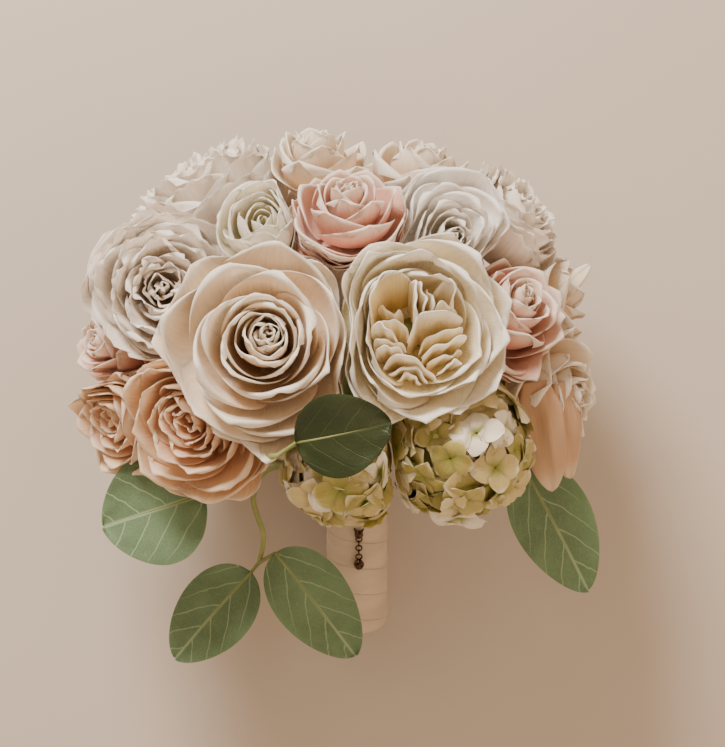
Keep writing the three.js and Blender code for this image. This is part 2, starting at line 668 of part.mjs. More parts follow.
function charmSolid() {
  const head = onWrap(86, 3, 2.9);
  const solids = [ball(head, 2.4, 0)];
  for (const side of [-1, 1]) {
    const lug = onWrap(82.2, 3, 2.9).addScaledVector(RIGHT, 2.4 * side);
    solids.push(tube([head.clone().addScaledVector(RIGHT, 0.6 * side), lug], 0.8, 4, 1));
  }
  for (let k = 0; k < 5; k++) solids.push(link(onWrap(89.3 + 2.83 * k, 3.1, 2.35), k % 2 === 1));
  const bead = new THREE.LatheGeometry(
    [[0, -3.2], [2, -2.4], [2.7, -0.4], [2, 1.8], [0, 2.9]].map(([r, y]) => new THREE.Vector2(r, y)),
    7,
  );
  const at = onWrap(104.9, 3, 3);
  bead.applyMatrix4(new THREE.Matrix4().makeBasis(RIGHT, AXIS, FRONT));
  bead.translate(at.x, at.y, at.z);
  solids.push(solid(bead));
  return join(solids);
}

// Scene
const bouquet = new THREE.Group();
bouquet.rotation.x = REST_TURN;
const cut = belowSurface();

function addPart(name, made, colour) {
  const [hex, roughness] = COLOURS[colour];
  const metalness = colour === "bronze" ? 0.9 : 0;
  const mesh = new THREE.Mesh(
    toGeometry(made),
    new THREE.MeshStandardMaterial({ color: hex, roughness, metalness }),
  );
  mesh.name = name;
  bouquet.add(mesh);
}

blooms.forEach((bloom, k) => {
  const random = randomFrom(100 + k);
  const made = bloom.kind === "hydrangea" ? hydrangea(bloom, random) : petalBloom(bloom, random);
  addPart(bloom.name, made.subtract(cut), bloom.colour);
});
STEMS.forEach(([name, names], k) => addPart(name, stemSolid(names, slots[k]), "stem"));
SPRAYS.forEach((spray, k) => addPart(spray.name, spraySolid(spray, slots[STEMS.length + k]), spray.colour));
addPart("handle_wrap", wrapSolid(), "ribbon");
addPart("pearl_pin_head", ball(onWrap(84, -52, 2.4), 1.9, 0), "pearl");
addPart("charm_chain", charmSolid(), "bronze");

// The frame's origin is on the surface, under the middle of the bouquet
const part = new THREE.Group();
part.add(bouquet);
bouquet.position.z = REST_HEIGHT;
part.updateMatrixWorld(true);
const bounds = new THREE.Box3().setFromObject(part, true);
bouquet.position.x = -(bounds.min.x + bounds.max.x) / 2;
bouquet.position.y = -(bounds.min.y + bounds.max.y) / 2;

export default part;
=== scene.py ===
# A hand-tied bridal bouquet of roses, peonies, hydrangea and eucalyptus with a satin-wrapped handle, lying
# on a pale floor. Metres, +Z up. Flowers and leaves are placed in the bouquet's front view: x to the right,
# y up along the bouquet and z toward the viewer, from the centre of the flower head. place_in_frame() then
# turns that view back a little and lifts it, as the bouquet lies.
import math
from collections import namedtuple

import bpy
import numpy as np
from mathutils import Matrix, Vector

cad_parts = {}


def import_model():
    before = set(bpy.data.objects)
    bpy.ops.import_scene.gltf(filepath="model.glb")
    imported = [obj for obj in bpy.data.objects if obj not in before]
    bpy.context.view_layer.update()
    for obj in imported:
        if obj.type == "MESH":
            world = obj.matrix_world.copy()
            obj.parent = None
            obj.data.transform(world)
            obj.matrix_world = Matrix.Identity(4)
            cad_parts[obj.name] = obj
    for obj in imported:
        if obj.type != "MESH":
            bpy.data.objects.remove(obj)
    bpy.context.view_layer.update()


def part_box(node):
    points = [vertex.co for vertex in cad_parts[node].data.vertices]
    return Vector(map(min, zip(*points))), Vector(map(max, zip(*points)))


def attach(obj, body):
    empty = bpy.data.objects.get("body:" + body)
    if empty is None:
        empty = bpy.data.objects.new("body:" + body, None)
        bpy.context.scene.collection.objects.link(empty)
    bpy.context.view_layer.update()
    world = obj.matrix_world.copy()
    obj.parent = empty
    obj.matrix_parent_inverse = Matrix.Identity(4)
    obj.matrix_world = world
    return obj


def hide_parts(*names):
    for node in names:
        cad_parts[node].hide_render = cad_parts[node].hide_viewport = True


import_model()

# Pose of the bouquet
AXIS_LEAN = math.radians(28.5)  # the stems' axis leans toward the viewer by this much
REST_TURN = math.radians(5.5)  # the front view is turned back by this much as the bouquet lies
REST_HEIGHT = 0.1  # height of the head's centre above the floor
AXIS = np.array([0, math.cos(AXIS_LEAN), math.sin(AXIS_LEAN)])
FRONT = np.array([0, -math.sin(AXIS_LEAN), math.cos(AXIS_LEAN)])
RIGHT = np.array([1.0, 0, 0])
UP = np.array([0, math.sin(REST_TURN), math.cos(REST_TURN)])

# Handle and stems
HANDLE_SHIFT = 0.010  # the handle stands this far to the right of the head's centre
WRAP_TOP = 0.052  # along the axis from the head's centre
WRAP_INNER = 0.0155
WRAP_OUTER = 0.0168
WRAP_SIDES = 18
WRAP_LOWEST = WRAP_OUTER * math.cos(math.pi / WRAP_SIDES) * math.cos(AXIS_LEAN + REST_TURN)
HANDLE_END = (REST_HEIGHT - WRAP_LOWEST) / math.sin(AXIS_LEAN + REST_TURN)
STEM_RADIUS = 0.0021
SPRAY_RADIUS = 0.0017
STEM_PITCH = 0.00485
STEM_END = HANDLE_END - 0.002  # the cut ends stand 2 mm inside the wrap
NECK = 0.027  # the stems flare out above this distance from the head's centre
NECK_SPREAD = 1.4
SLOT_REACH = 0.012  # a stem that comes in by one radian wants a slot this far from the axis
SLOT_ROUNDS = 60  # rounds of trading slots between two stems
FULL_SLOTS = 19  # slots of a full bundle. Of the next ring, up to ALL_SLOTS, every other one is used
ALL_SLOTS = 31
STEM_BEND = 0.58  # how far along to the neck a stem has its last bend
STEM_LIFT = 0.005  # and how far it bows toward the crown there
STEM_TOP = 0.003  # a stem starts this far below its flower's foot
STEM_UNDER = 0.016  # down to here a stem comes straight out of its flower
BRANCH = 0.9  # the stem of a second flower is thinner by this factor
BRANCH_JOINS = 0.3  # and joins the first this far along the neck

# Petals and leaves
PETAL = 0.0004  # thickness
LEAF = 0.0006
LAYER = 0.00012  # pressed petals of a flower lie this far apart
GAP = 0.0003  # between two flowers that press on each other
WAVE = 0.0035  # how far the seam between two flowers winds
WAVE_LENGTH = 0.036
NEIGHBOURS = 1.25  # flowers press on each other up to this share of the sum of their radii
PRESS_ZONE = 0.005  # a pressed petal gives way at least this far from the seam
ROLLED = 3.6  # a petal's edge rolls back by no more than this angle
FLOOR_GAP = 0.0004
GOLDEN = math.pi * (3 - math.sqrt(5))
ANY_ANGLE = (0, 6.28)
PETAL_WIDEST = 0.62  # how far along to its tip a petal is widest
ROLL_FROM = 0.55  # a hanging petal's sides roll back from this share of its half width
SEPAL_FOOT = 0.0022  # the sepals start this far from the middle of the green cup under a flower
CALYX = [(0.0021, -0.0075), (0.0030, -0.0062), (0.0046, -0.0045), (0.0050, -0.0026), (0.0044, -0.0008),
         (0.0010, -0.0002)]

# Outline of a leaf's blade: where it is widest, how blunt its ends are and how much narrower it gets
LEAF_SWELL = 0.86
LEAF_BLUNT = 0.52
LEAF_TAPER = 0.16
LEAF_ROWS = 44  # points along a blade and across it, and along its rib
LEAF_COLUMNS = 29
RIB_ROWS = 30
SIDE_VEINS = 4  # on each side of the midrib

# Ribbon, pin and charm. Where things lie is given down the handle's axis from the head's centre, and in
# degrees round it from its front.
RIBBON = 0.017  # how far one turn of the ribbon is from the next
RIBBON_STEP = 0.0005  # how far a turn's edge stands out
RIBBON_EDGE = 0.94  # the edge comes at this share of a turn
PIN_ALONG = 0.084
PIN_AROUND = -52
PEARL_RADIUS = 0.0019
CHARM_AROUND = 3
CLASP_ALONG = 0.086
LUGS_ALONG = 0.0822
LINKS_ALONG = 0.0893
LINK_STEP = 0.00283
LINK_WIRE = 0.0004
BEAD_ALONG = 0.1049
BEAD = [(0.0002, -0.0032), (0.0011, -0.0031), (0.0019, -0.0024), (0.0025, -0.0013), (0.0027, -0.0003),
        (0.0025, 0.0009), (0.0020, 0.0018), (0.0011, 0.0026), (0.0002, 0.0029)]

# Meshes, view and floor
SHARP_FROM = 75  # edges that turn by more degrees than this stay sharp
CELL_EDGE = 0.03  # the empty margin of a patch's cell in the map
VIEW_DISTANCE = 1.1  # from the camera to the head's centre
VIEW_CENTRE = (0.013, 0.0024)
PICTURE_WIDTH = 725
PIXEL = 0.00053  # size of one pixel of the picture at the head's centre
FLOOR_LEVEL = -0.0003

# Flowers that show from the front: name, kind, centre, radius, colour, and where it faces
FRONT_BLOOMS = [
    ("rose_cream_front", "rose", (-0.037, 0.017, 0.100), 0.050, "cream", (-0.1, 0.16, 1)),
    ("rose_ivory_garden", "garden", (0.039, 0.023, 0.099), 0.044, "ivory", (0.12, 0.04, 1)),
    ("peony_white_crown", "peony", (-0.066, 0.093, 0), 0.049, "white", (-0.45, 0.85, 0.15)),
    ("peony_white_left", "peony", (-0.087, 0.045, 0.048), 0.040, "white", (0.15, 0.1, 1)),
    ("rose_pink_left", "rose", (-0.114, 0.017, 0.020), 0.037, "blush", (-0.75, 0.15, 0.55)),
    ("rose_peach_left", "cup", (-0.113, -0.018, 0.028), 0.034, "peach", (-0.75, -0.3, 0.6)),
    ("rose_peach_low", "cup", (-0.070, -0.019, 0.069), 0.038, "peach", (-0.4, -0.2, 0.9)),
    ("ranunculus_lemon", "bud", (-0.035, 0.075, 0.067), 0.023, "lemon", (-0.1, 0.45, 0.9)),
    ("rose_blush_crown", "rose", (0.006, 0.083, 0.068), 0.035, "blush", (0, 0.78, 0.6)),
    ("rose_cream_crown", "rose", (-0.012, 0.113, 0.013), 0.036, "cream", (-0.05, 0.95, 0.3)),
    ("rose_ivory_crown", "rose", (0.044, 0.107, 0.004), 0.037, "ivory", (0.25, 0.95, 0.2)),
    ("rose_white_crown", "round", (0.057, 0.071, 0.052), 0.034, "white garden", (0.2, 0.1, 1)),
    ("peony_white_right", "peony", (0.088, 0.082, 0.002), 0.040, "white", (0.7, 0.6, 0.3)),
    ("rose_pink_right", "rose", (0.086, 0.033, 0.050), 0.040, "blush", (0.5, 0.5, 0.7)),
    ("rose_peach_right", "rose", (0.111, -0.006, 0.024), 0.041, "peach", (0.85, -0.1, 0.5)),
    ("hydrangea_front", "hydrangea", (0.006, -0.041, 0.071), 0.032, "hydrangea", (0.05, -0.5, 0.85)),
    ("hydrangea_right", "hydrangea", (0.058, -0.032, 0.064), 0.040, "hydrangea", (0.5, -0.35, 0.8)),
    ("rose_cream_right", "rose", (0.113, 0.048, -0.008), 0.035, "cream", (0.9, 0.35, 0)),
]

# Flowers at the back: name, kind, degrees from the crown, degrees round the axis from the front, distance,
# radius and colour
BACK_BLOOMS = [
    ("rose_cream_back", "rose", 61, 152, 0.100, 0.042, "cream"),
    ("rose_blush_back", "rose", 62, 201, 0.100, 0.043, "blush"),
    ("rose_peach_back", "rose", 94, 114, 0.098, 0.039, "peach"),
    ("hydrangea_back_right", "hydrangea", 96, 147, 0.098, 0.039, "hydrangea"),
    ("peony_white_back", "peony", 96, 181, 0.093, 0.038, "white"),
    ("rose_ivory_back_left", "rose", 95, 214, 0.098, 0.041, "ivory"),
    ("rose_blush_back_left", "rose", 88, 246, 0.098, 0.041, "blush"),
]

# The stem of each flower. Two flowers on one line grow on one branched stem.
STEMS = [
    ("stem_rose_cream_front", ["rose_cream_front"]),
    ("stem_rose_ivory_garden", ["rose_ivory_garden"]),
    ("stem_peony_crown", ["peony_white_crown"]),
    ("stem_peony_left", ["peony_white_left"]),
    ("stem_spray_left", ["rose_pink_left", "rose_peach_left"]),
    ("stem_rose_peach_low", ["rose_peach_low"]),
    ("stem_ranunculus", ["ranunculus_lemon"]),
    ("stem_rose_blush_crown", ["rose_blush_crown"]),
    ("stem_rose_cream_crown", ["rose_cream_crown"]),
    ("stem_rose_ivory_crown", ["rose_ivory_crown"]),
    ("stem_rose_white_crown", ["rose_white_crown"]),
    ("stem_peony_right", ["peony_white_right"]),
    ("stem_rose_pink_right", ["rose_pink_right"]),
    ("stem_rose_peach_right", ["rose_peach_right"]),
    ("stem_hydrangea_front", ["hydrangea_front"]),
    ("stem_hydrangea_right", ["hydrangea_right"]),
    ("stem_spray_right", ["rose_cream_right", "rose_peach_back"]),
    ("stem_rose_cream_back", ["rose_cream_back"]),
    ("stem_rose_blush_back", ["rose_blush_back"]),
    ("stem_hydrangea_back", ["hydrangea_back_right"]),
    ("stem_peony_back", ["peony_white_back"]),
    ("stem_spray_back", ["rose_ivory_back_left", "rose_blush_back_left"]),
]

# Sprays of foliage: name, slot, the way of the main stalk, and for each leaf the base and tip of its blade,
# where it faces and its half width
SPRAYS = [
    ("leaf_salal_front", "salal_leaf",
     [(-0.028, -0.037, 0.111), (-0.036, -0.038, 0.092), (-0.037, -0.039, 0.064), (-0.022, -0.044, 0.034)],
     [((-0.0185, -0.0305, 0.114), (0.0265, -0.0205, 0.118), (0.08, -0.2, 1), 0.022)]),
    ("eucalyptus_left", "eucalyptus_leaf",
     [(-0.042, -0.098, 0), (-0.039, -0.084, 0.008), (-0.044, -0.062, 0.018), (-0.038, -0.049, 0.019),
      (-0.006, -0.042, 0.008)],
     [((-0.046, -0.103, -0.001), (-0.087, -0.150, -0.012), (-0.15, 0.1, 1), 0.022),
      ((-0.033, -0.092, 0.008), (0.009, -0.147, 0), (0.15, 0.1, 1), 0.022),
      ((-0.068, -0.060, 0.031), (-0.121, -0.077, 0.024), (-0.1, 0.1, 1), 0.032)]),
    ("eucalyptus_right", "eucalyptus_leaf",
     [(0.091, -0.042, 0.021), (0.082, -0.042, 0.015), (0.060, -0.046, 0.005), (0.034, -0.045, -0.005)],
     [((0.096, -0.045, 0.021), (0.131, -0.111, 0.012), (0.1, 0.1, 1), 0.023)]),
]

# Long petals that hang or stand out from a flower: base, tip, where the face looks, half width
HANGING_PETALS = {
    "rose_cream_right": [((0.111, 0.037, 0.002), (0.133, 0.060, 0.005), (-0.3, 0.3, 1), 0.006)],
    "rose_peach_right": [
        ((0.100, -0.002, 0.050), (0.110, -0.058, 0.040), (-0.2, 0.2, 1), 0.013),
        ((0.115, -0.002, 0.042), (0.120, -0.052, 0.032), (0.6, 0.1, 0.8), 0.011),
    ],
}

# How the petals of a flower change from its heart (0) to its rim (1): share, the profile's distances from the
# flower's middle and its heights as shares of the radius and the depth, how far round the petal reaches in
# radians, where along the petal its edge starts to roll back at its middle and at its sides, and how tightly
LYING_PETAL = (1.40, (0.12, 0.80, 1.14, 1.30), (0.01, -0.12, -0.10, -0.04), 1.3, 0.97, 0.85, 12)
PETALS = {
    "rose": [
        (0.00, (0.02, 0.05, 0.07, 0.03), (0.30, 0.50, 0.80, 0.95), 2.6, 0.98, 0.95, 8),
        (0.22, (0.05, 0.19, 0.24, 0.17), (0.25, 0.35, 0.75, 0.98), 2.0, 0.96, 0.92, 16),
        (0.50, (0.08, 0.40, 0.44, 0.41), (0.18, 0.16, 0.62, 0.92), 1.45, 0.95, 0.82, 19),
        (0.78, (0.10, 0.60, 0.70, 0.73), (0.12, 0.04, 0.46, 0.78), 1.2, 0.95, 0.72, 18),
        (1.00, (0.12, 0.74, 0.94, 1.02), (0.08, -0.02, 0.30, 0.56), 1.1, 0.95, 0.62, 16),
        (1.20, (0.12, 0.80, 1.08, 1.20), (0.05, -0.06, 0.16, 0.34), 1.0, 0.96, 0.76, 14),
        LYING_PETAL,
    ],
    "cup": [
        (0.00, (0.02, 0.06, 0.10, 0.06), (0.20, 0.30, 0.60, 0.74), 1.8, 0.97, 0.95, 8),
        (0.30, (0.08, 0.28, 0.35, 0.31), (0.20, 0.30, 0.62, 0.82), 1.25, 0.96, 0.92, 14),
        (0.60, (0.10, 0.50, 0.60, 0.56), (0.15, 0.12, 0.55, 0.85), 1.15, 0.96, 0.90, 15),
        (0.85, (0.12, 0.66, 0.84, 0.80), (0.10, 0.04, 0.45, 0.84), 1.1, 0.95, 0.84, 15),
        (1.00, (0.14, 0.74, 1.00, 1.00), (0.08, 0.00, 0.36, 0.70), 1.05, 0.94, 0.72, 14),
        (1.20, (0.14, 0.80, 1.10, 1.18), (0.05, -0.06, 0.16, 0.42), 1.0, 0.95, 0.82, 12),
        LYING_PETAL,
    ],
    "peony": [
        (0.00, (0.02, 0.08, 0.11, 0.03), (0.30, 0.50, 0.82, 0.98), 1.9, 0.97, 0.94, 7),
        (0.30, (0.08, 0.26, 0.34, 0.36), (0.30, 0.34, 0.72, 1.00), 1.25, 0.93, 0.86, 9),
        (0.55, (0.10, 0.44, 0.54, 0.62), (0.20, 0.18, 0.60, 0.94), 1.15, 0.92, 0.84, 9),
        (0.80, (0.12, 0.60, 0.78, 0.88), (0.12, 0.06, 0.46, 0.82), 1.1, 0.92, 0.82, 9),
        (1.00, (0.14, 0.74, 0.98, 1.06), (0.08, -0.02, 0.30, 0.62), 1.1, 0.93, 0.84, 8),
        (1.20, (0.14, 0.80, 1.10, 1.18), (0.05, -0.06, 0.18, 0.42), 1.0, 0.96, 0.86, 6),
        LYING_PETAL,
    ],
    "bud": [
        (0.00, (0.03, 0.10, 0.14, 0.04), (0.30, 0.40, 0.70, 0.78), 2.0, 0.98, 0.96, 6),
        (0.30, (0.10, 0.34, 0.42, 0.22), (0.20, 0.25, 0.75, 0.90), 1.5, 0.97, 0.95, 8),
        (0.60, (0.15, 0.60, 0.80, 0.45), (0.15, 0.10, 0.75, 1.00), 1.2, 0.97, 0.94, 8),
        (1.00, (0.19, 0.80, 1.06, 0.84), (0.08, 0.00, 0.60, 0.94), 0.95, 0.95, 0.86, 9),
        (1.20, (0.20, 0.90, 1.20, 1.24), (0.02, -0.04, 0.24, 0.50), 1.0, 0.95, 0.86, 9),
        (1.40, (0.20, 0.90, 1.30, 1.50), (0.00, -0.08, -0.06, 0.02), 1.0, 0.95, 0.86, 9),
    ],
}
PETALS["garden"] = PETALS["cup"]
PETALS["round"] = PETALS["rose"]

# What else tells one kind of flower from another: its depth as a share of its radius, how many petals, how
# ruffled, notched and pointed they are, and how much each one goes its own way
Shape = namedtuple("Shape", "depth count ruffle notch point wild", defaults=(0.0, 0.0, 0.0, 0.0))
SHAPES = {
    "rose": Shape(0.95, 25, 0.010, 0.0, 1.5, 0.45),
    "cup": Shape(0.95, 30, 0.016, 0.0, 0.9, 0.55),
    "round": Shape(0.95, 21, 0.022, 0.01, 0.5, 0.7),
    "garden": Shape(0.95, 15, 0.012, 0.0, 1.3, 0.4),
    "peony": Shape(1.05, 38, 0.032, 0.08, 0.0, 0.85),
    "bud": Shape(1.3, 18, 0.006, 0.0, 0.2, 0.2),
    "hydrangea": Shape(1.28, 110),
}
BIG = 0.0435  # flowers with a larger radius have finer petals
FEWER_AT_BACK = 8  # petals
MORE_ON_LARGEST = 5
SMALL_HEAD = 0.035  # a hydrangea with a smaller radius has fewer florets
FEWER_FLORETS = 25
HYDRANGEA_CORE = 0.74  # as a share of the radius
FLORET_SIZES = (0.0105, 0.0145)
FLORETS_DOWN = 1.75  # how far down from its top florets cover a head, in radii
FLORETS_OUT = (0.74, 0.95)  # how far out they stand, in radii
FLORET_HIDDEN = 0.002  # a floret that lies deeper than this past a seam is left out
# Flowers in the middle of the head, whose lowest petals spread out under their neighbours and hide the stems
SPREAD = ("rose_cream_front", "rose_ivory_garden", "rose_blush_crown", "rose_white_crown", "rose_pink_right",
          "rose_peach_low", "ranunculus_lemon")
LARGEST = max(row[3] for row in FRONT_BLOOMS)
# A flower that is toned like another colour's
LOOKS = {"rose_ivory_crown": "cream", "rose_peach_right": "cream"}
# How far the heart of a flower lies off its middle
HEART_SHIFT = {
    "rose_cream_front": (0.0075, 0.0005, 0),
    "peony_white_left": (-0.002, -0.002, 0),
    "rose_white_crown": (0.001, -0.003, 0),
    "rose_pink_right": (0.002, 0.002, 0),
}
# The folds inside the garden rose, seen from above in shares of its radius: where the rim of each starts,
# bends and ends, and how high it stands as a share of the depth
FOLDS = [
    ((0.02, 0.60), (-0.50, 0.66), (-0.50, 0.16), 0.82),
    ((-0.42, 0.44), (-0.30, 0.26), (-0.12, 0.34), 0.60),
    ((-0.46, 0.14), (-0.22, 0.32), (-0.12, 0.06), 0.62),
    ((-0.02, 0.57), (0.05, 0.30), (-0.07, 0.08), 0.84),
    ((0.06, 0.57), (0.13, 0.34), (0.03, 0.16), 0.78),
    ((0.14, 0.54), (0.24, 0.38), (0.13, 0.22), 0.66),
    ((0.24, 0.50), (0.50, 0.44), (0.38, 0.20), 0.74),
    ((0.16, 0.24), (0.34, 0.34), (0.52, 0.20), 0.64),
    ((-0.13, -0.02), (0.08, 0.24), (0.54, 0.13), 0.78),
    ((-0.02, -0.14), (0.22, 0.04), (0.55, 0.01), 0.66),
    ((0.02, -0.24), (0.28, -0.10), (0.54, -0.12), 0.74),
    ((0.08, -0.33), (0.32, -0.22), (0.50, -0.24), 0.64),
    ((0.16, -0.42), (0.32, -0.34), (0.44, -0.36), 0.72),
    ((-0.52, 0.08), (-0.38, 0.16), (-0.24, -0.04), 0.80),
    ((-0.52, -0.06), (-0.34, 0.04), (-0.17, -0.12), 0.68),
    ((-0.50, -0.16), (-0.34, -0.06), (-0.20, -0.20), 0.76),
    ((-0.46, -0.26), (-0.08, -0.16), (0.12, -0.50), 0.74),
    ((-0.40, -0.36), (-0.10, -0.26), (0.04, -0.52), 0.66),
    ((-0.32, -0.44), (-0.12, -0.36), (-0.04, -0.53), 0.62),
]
FOLD_FOOT = 0.10  # height of their foot
FOLD_UPRIGHT = 0.8  # below this height a fold runs in toward the middle and down in the view,
FOLD_LEAN = 0.6  # down by this share of what is missing to that height,
FOLD_EDGE = -0.6  # and the less, the nearer it is to this edge of the flower
FOLD_ROLL = 0.93  # where on its way up a fold starts to roll over
FOLD_SIZE = 1.1  # the table is drawn larger by this factor


def unit(v):
    return v / np.linalg.norm(v, axis=-1, keepdims=True)


def circle(angle, x, y):
    """Points of a circle of radius 1, at these angles from x toward y."""
    return np.cos(angle)[..., None] * x + np.sin(angle)[..., None] * y


def turned(x, y, angle):
    """The two coordinates after a turn by an angle."""
    c, s = math.cos(angle), math.sin(angle)
    return x * c - y * s, x * s + y * c


# Where the front view lies in the frame: the wrapped handle tells by how much it was shifted
def handle_at(along, x, y):
    """A point this far down the handle's axis, and from there to the right and toward the front."""
    return HANDLE_SHIFT * RIGHT - AXIS * along + RIGHT * x + FRONT * y


def turn_back(points):
    """Points of the front view, turned as the bouquet lies."""
    y, z = turned(points[..., 1], points[..., 2], REST_TURN)
    return np.stack([points[..., 0], y, z], -1)


def frame_origin():
    """Where the head's centre is in the frame."""
    low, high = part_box("handle_wrap")
    corners = np.array([
        turn_back(handle_at(along, WRAP_OUTER * math.cos(a), WRAP_OUTER * math.sin(a)))
        for along in (WRAP_TOP, HANDLE_END)
        for a in np.arange(WRAP_SIDES) * 2 * math.pi / WRAP_SIDES
    ])
    middle = (corners.min(0) + corners.max(0)) / 2
    return np.array([(low.x + high.x) / 2 - middle[0], (low.y + high.y) / 2 - middle[1], REST_HEIGHT])


ORIGIN = frame_origin()


def place_in_frame(points):
    """Points of the front view in the frame."""
    return turn_back(np.asarray(points, float)) + ORIGIN


def add_object(name, data):
    made = bpy.data.objects.new(name, data)
    bpy.context.scene.collection.objects.link(made)
    return made


# Meshes
class Piece:
    """One mesh in the making. Every patch of it has a cell of its own in the map that its surface is laid
    out on. Its material reads two marks at each point: petal says how far along and across its sheet the
    point is, with a third value, and grain gives the sheet's chance value and 1 on its outer face."""

    def __init__(self):
        self.points = []
        self.marks = []
        self.grain = []
        self.faces = []
        self.cells = []
        self.materials = []
        self.count = 0
        self.cell_count = 0

    def add(self, points, faces, corners, cells, marks, grain, material=0):
        self.points.append(points.reshape(-1, 3))
        self.marks.append(np.broadcast_to(marks, points.shape).reshape(-1, 3))
        self.grain.append(np.broadcast_to(grain, points.shape).reshape(-1, 3))
        self.faces.append(faces + self.count)
        self.cells.append((corners, np.broadcast_to(cells, len(faces)) + self.cell_count))
        self.materials.append(np.full(len(faces), material))
        self.count += points.size // 3
        self.cell_count += int(np.max(cells)) + 1

    def build(self, name, looks):
        mesh = bpy.data.meshes.new(name + "_look")
        faces = [face for block in self.faces for face in block.tolist()]
        mesh.from_pydata(place_in_frame(np.concatenate(self.points)).tolist(), [], faces)
        mesh.polygons.foreach_set("material_index", np.concatenate(self.materials))
        for key, values in (("petal", self.marks), ("grain", self.grain)):
            layer = mesh.attributes.new(key, "FLOAT_VECTOR", "POINT")
            layer.data.foreach_set("vector", np.concatenate(values).astype(np.float32).ravel())
        self.lay_out(mesh)
        for look in looks:
            mesh.materials.append(MATERIALS[look])
        mesh.shade_smooth()
        mesh.set_sharp_from_angle(angle=math.radians(SHARP_FROM))
        mesh.update()
        piece = add_object(name + "_look", mesh)
        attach(piece, "root")
        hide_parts(name)

    def lay_out(self, mesh):
        """Gives each patch its cell of the map, in rows of a square."""
        side = math.ceil(math.sqrt(self.cell_count))
        layer = mesh.uv_layers.new(name="OFBake")
        flat = []
        for corners, cells in self.cells:
            origin = np.stack([cells % side, cells // side], -1)[:, None, :]
            flat.append(((origin + CELL_EDGE + (1 - 2 * CELL_EDGE) * corners) / side).reshape(-1, 2))
        layer.uv.foreach_set("vector", np.concatenate(flat).astype(np.float32).ravel())


def quads_of(ids):
    """The four corners of each quad of a grid of point numbers, or of several grids."""
    corners = [ids[..., :-1, :-1], ids[..., :-1, 1:], ids[..., 1:, 1:], ids[..., 1:, :-1]]
    return np.stack(corners, -1).reshape(-1, 4)


def sheet_grid(rows, columns, left=-1):
    """How far along a sheet each of its points is, from 0 to 1, and how far across."""
    return np.meshgrid(np.linspace(0, 1, rows), np.linspace(left, 1, columns), indexing="ij")


def marks_of(t, s, share=0.0):
    """What a material reads at each point of a sheet: along it, across it, and a third value."""
    return np.stack([t, s, np.broadcast_to(share, t.shape)], -1)


def stacked(sheets):
    """The grids and the marks of several sheets, each given as a pair of both."""
    grids, marks = zip(*sheets)
    return np.array(grids), np.array(marks)


def square_corners(rows, columns):
    """The two coordinates of each corner of each quad of a grid, from 0 to 1."""
    v, u = sheet_grid(rows, columns, 0)
    flat = np.stack([u, v], -1).reshape(-1, 2)
    return flat[quads_of(np.arange(rows * columns).reshape(rows, columns))]


def add_sheets(piece, grids, marks, chances, thickness=PETAL, material=0):
    """Thin closed sheets round grids of points (sheet, along, across). The two faces meet at the rim."""
    count, rows, columns = grids.shape[:3]
    normals = np.cross(np.gradient(grids, axis=2), np.gradient(grids, axis=1))
    normals /= np.linalg.norm(normals, axis=-1, keepdims=True) + 1e-15
    inner = np.zeros((rows, columns), bool)
    inner[1:-1, 1:-1] = True
    offset = 0.5 * thickness * normals * inner[..., None]
    ids = np.arange(count * rows * columns).reshape(count, rows, columns)
    back_ids = ids.copy()
    back_ids[:, inner] = ids.size + np.arange(count * inner.sum()).reshape(count, -1)
    corners = np.tile(square_corners(rows, columns), (count, 1, 1))
    chance = np.broadcast_to(np.asarray(chances)[:, None, None], ids.shape)
    outside = np.broadcast_to(np.where(inner, 1.0, 0.5), ids.shape)

    def both(front, back):
        return np.concatenate([front.reshape(-1, 3), back[:, inner].reshape(-1, 3)])

    piece.add(
        both(grids + offset, grids - offset),
        np.concatenate([quads_of(ids), quads_of(back_ids)[:, ::-1]]),
        np.concatenate([corners, corners[:, ::-1]]),
        np.repeat(np.arange(2 * count), (rows - 1) * (columns - 1)),
        both(marks, marks),
        both(marks_of(chance, outside), marks_of(chance, np.zeros(ids.shape))),
        material,
    )


def add_skin(piece, rings, grain=(0, 1, 0), material=0, closed=False):
    """A surface over rings of points (ring, round, xyz), capped at both ends or closed on itself."""
    count, sides = rings.shape[:2]
    ids = np.arange(count * sides).reshape(count, sides)
    wide = np.concatenate([ids, ids[:, :1]], 1)
    if closed:
        wide = np.concatenate([wide, wide[:1]])
    marks = marks_of(*sheet_grid(count, sides, 0)).reshape(-1, 3)
    piece.add(rings.reshape(-1, 3), quads_of(wide), square_corners(*wide.shape), 0, marks, grain, material)
    if closed:
        return
    k = np.arange(sides)
    fan = np.stack([k, (k + 1) % sides, np.full(sides, sides)], -1)
    rim = circle(2 * math.pi * k / sides, np.array([0.5, 0]), np.array([0, 0.5]))
    disc = 0.5 + np.concatenate([rim, np.zeros((1, 2))])
    for ring, end, faces in ((rings[0], 0.0, fan[:, ::-1]), (rings[-1], 1.0, fan)):
        hub = np.concatenate([ring, ring.mean(0)[None]])
        piece.add(hub, faces, disc[faces], 0, np.array([end, 0.5, 1.0]), grain, material)


def add_tube(piece, path, radii, sides=10, grain=(0, 1, 0), material=0):
    """A round tube along a path of points, its rings carried along without twist."""
    path = np.asarray(path, float)
    ahead = unit(np.gradient(path, axis=0))
    across = unit(np.cross(ahead[0], [0.3, 0.2, 0.9]))
    angle = -2 * math.pi * np.arange(sides) / sides
    rings = []
    for point, way, radius in zip(path, ahead, np.broadcast_to(radii, len(path))):
        across = unit(across - way * (across @ way))
        rings.append(point + radius * circle(angle, across, np.cross(way, across)))
    add_skin(piece, np.array(rings)[:, ::-1], grain, material)


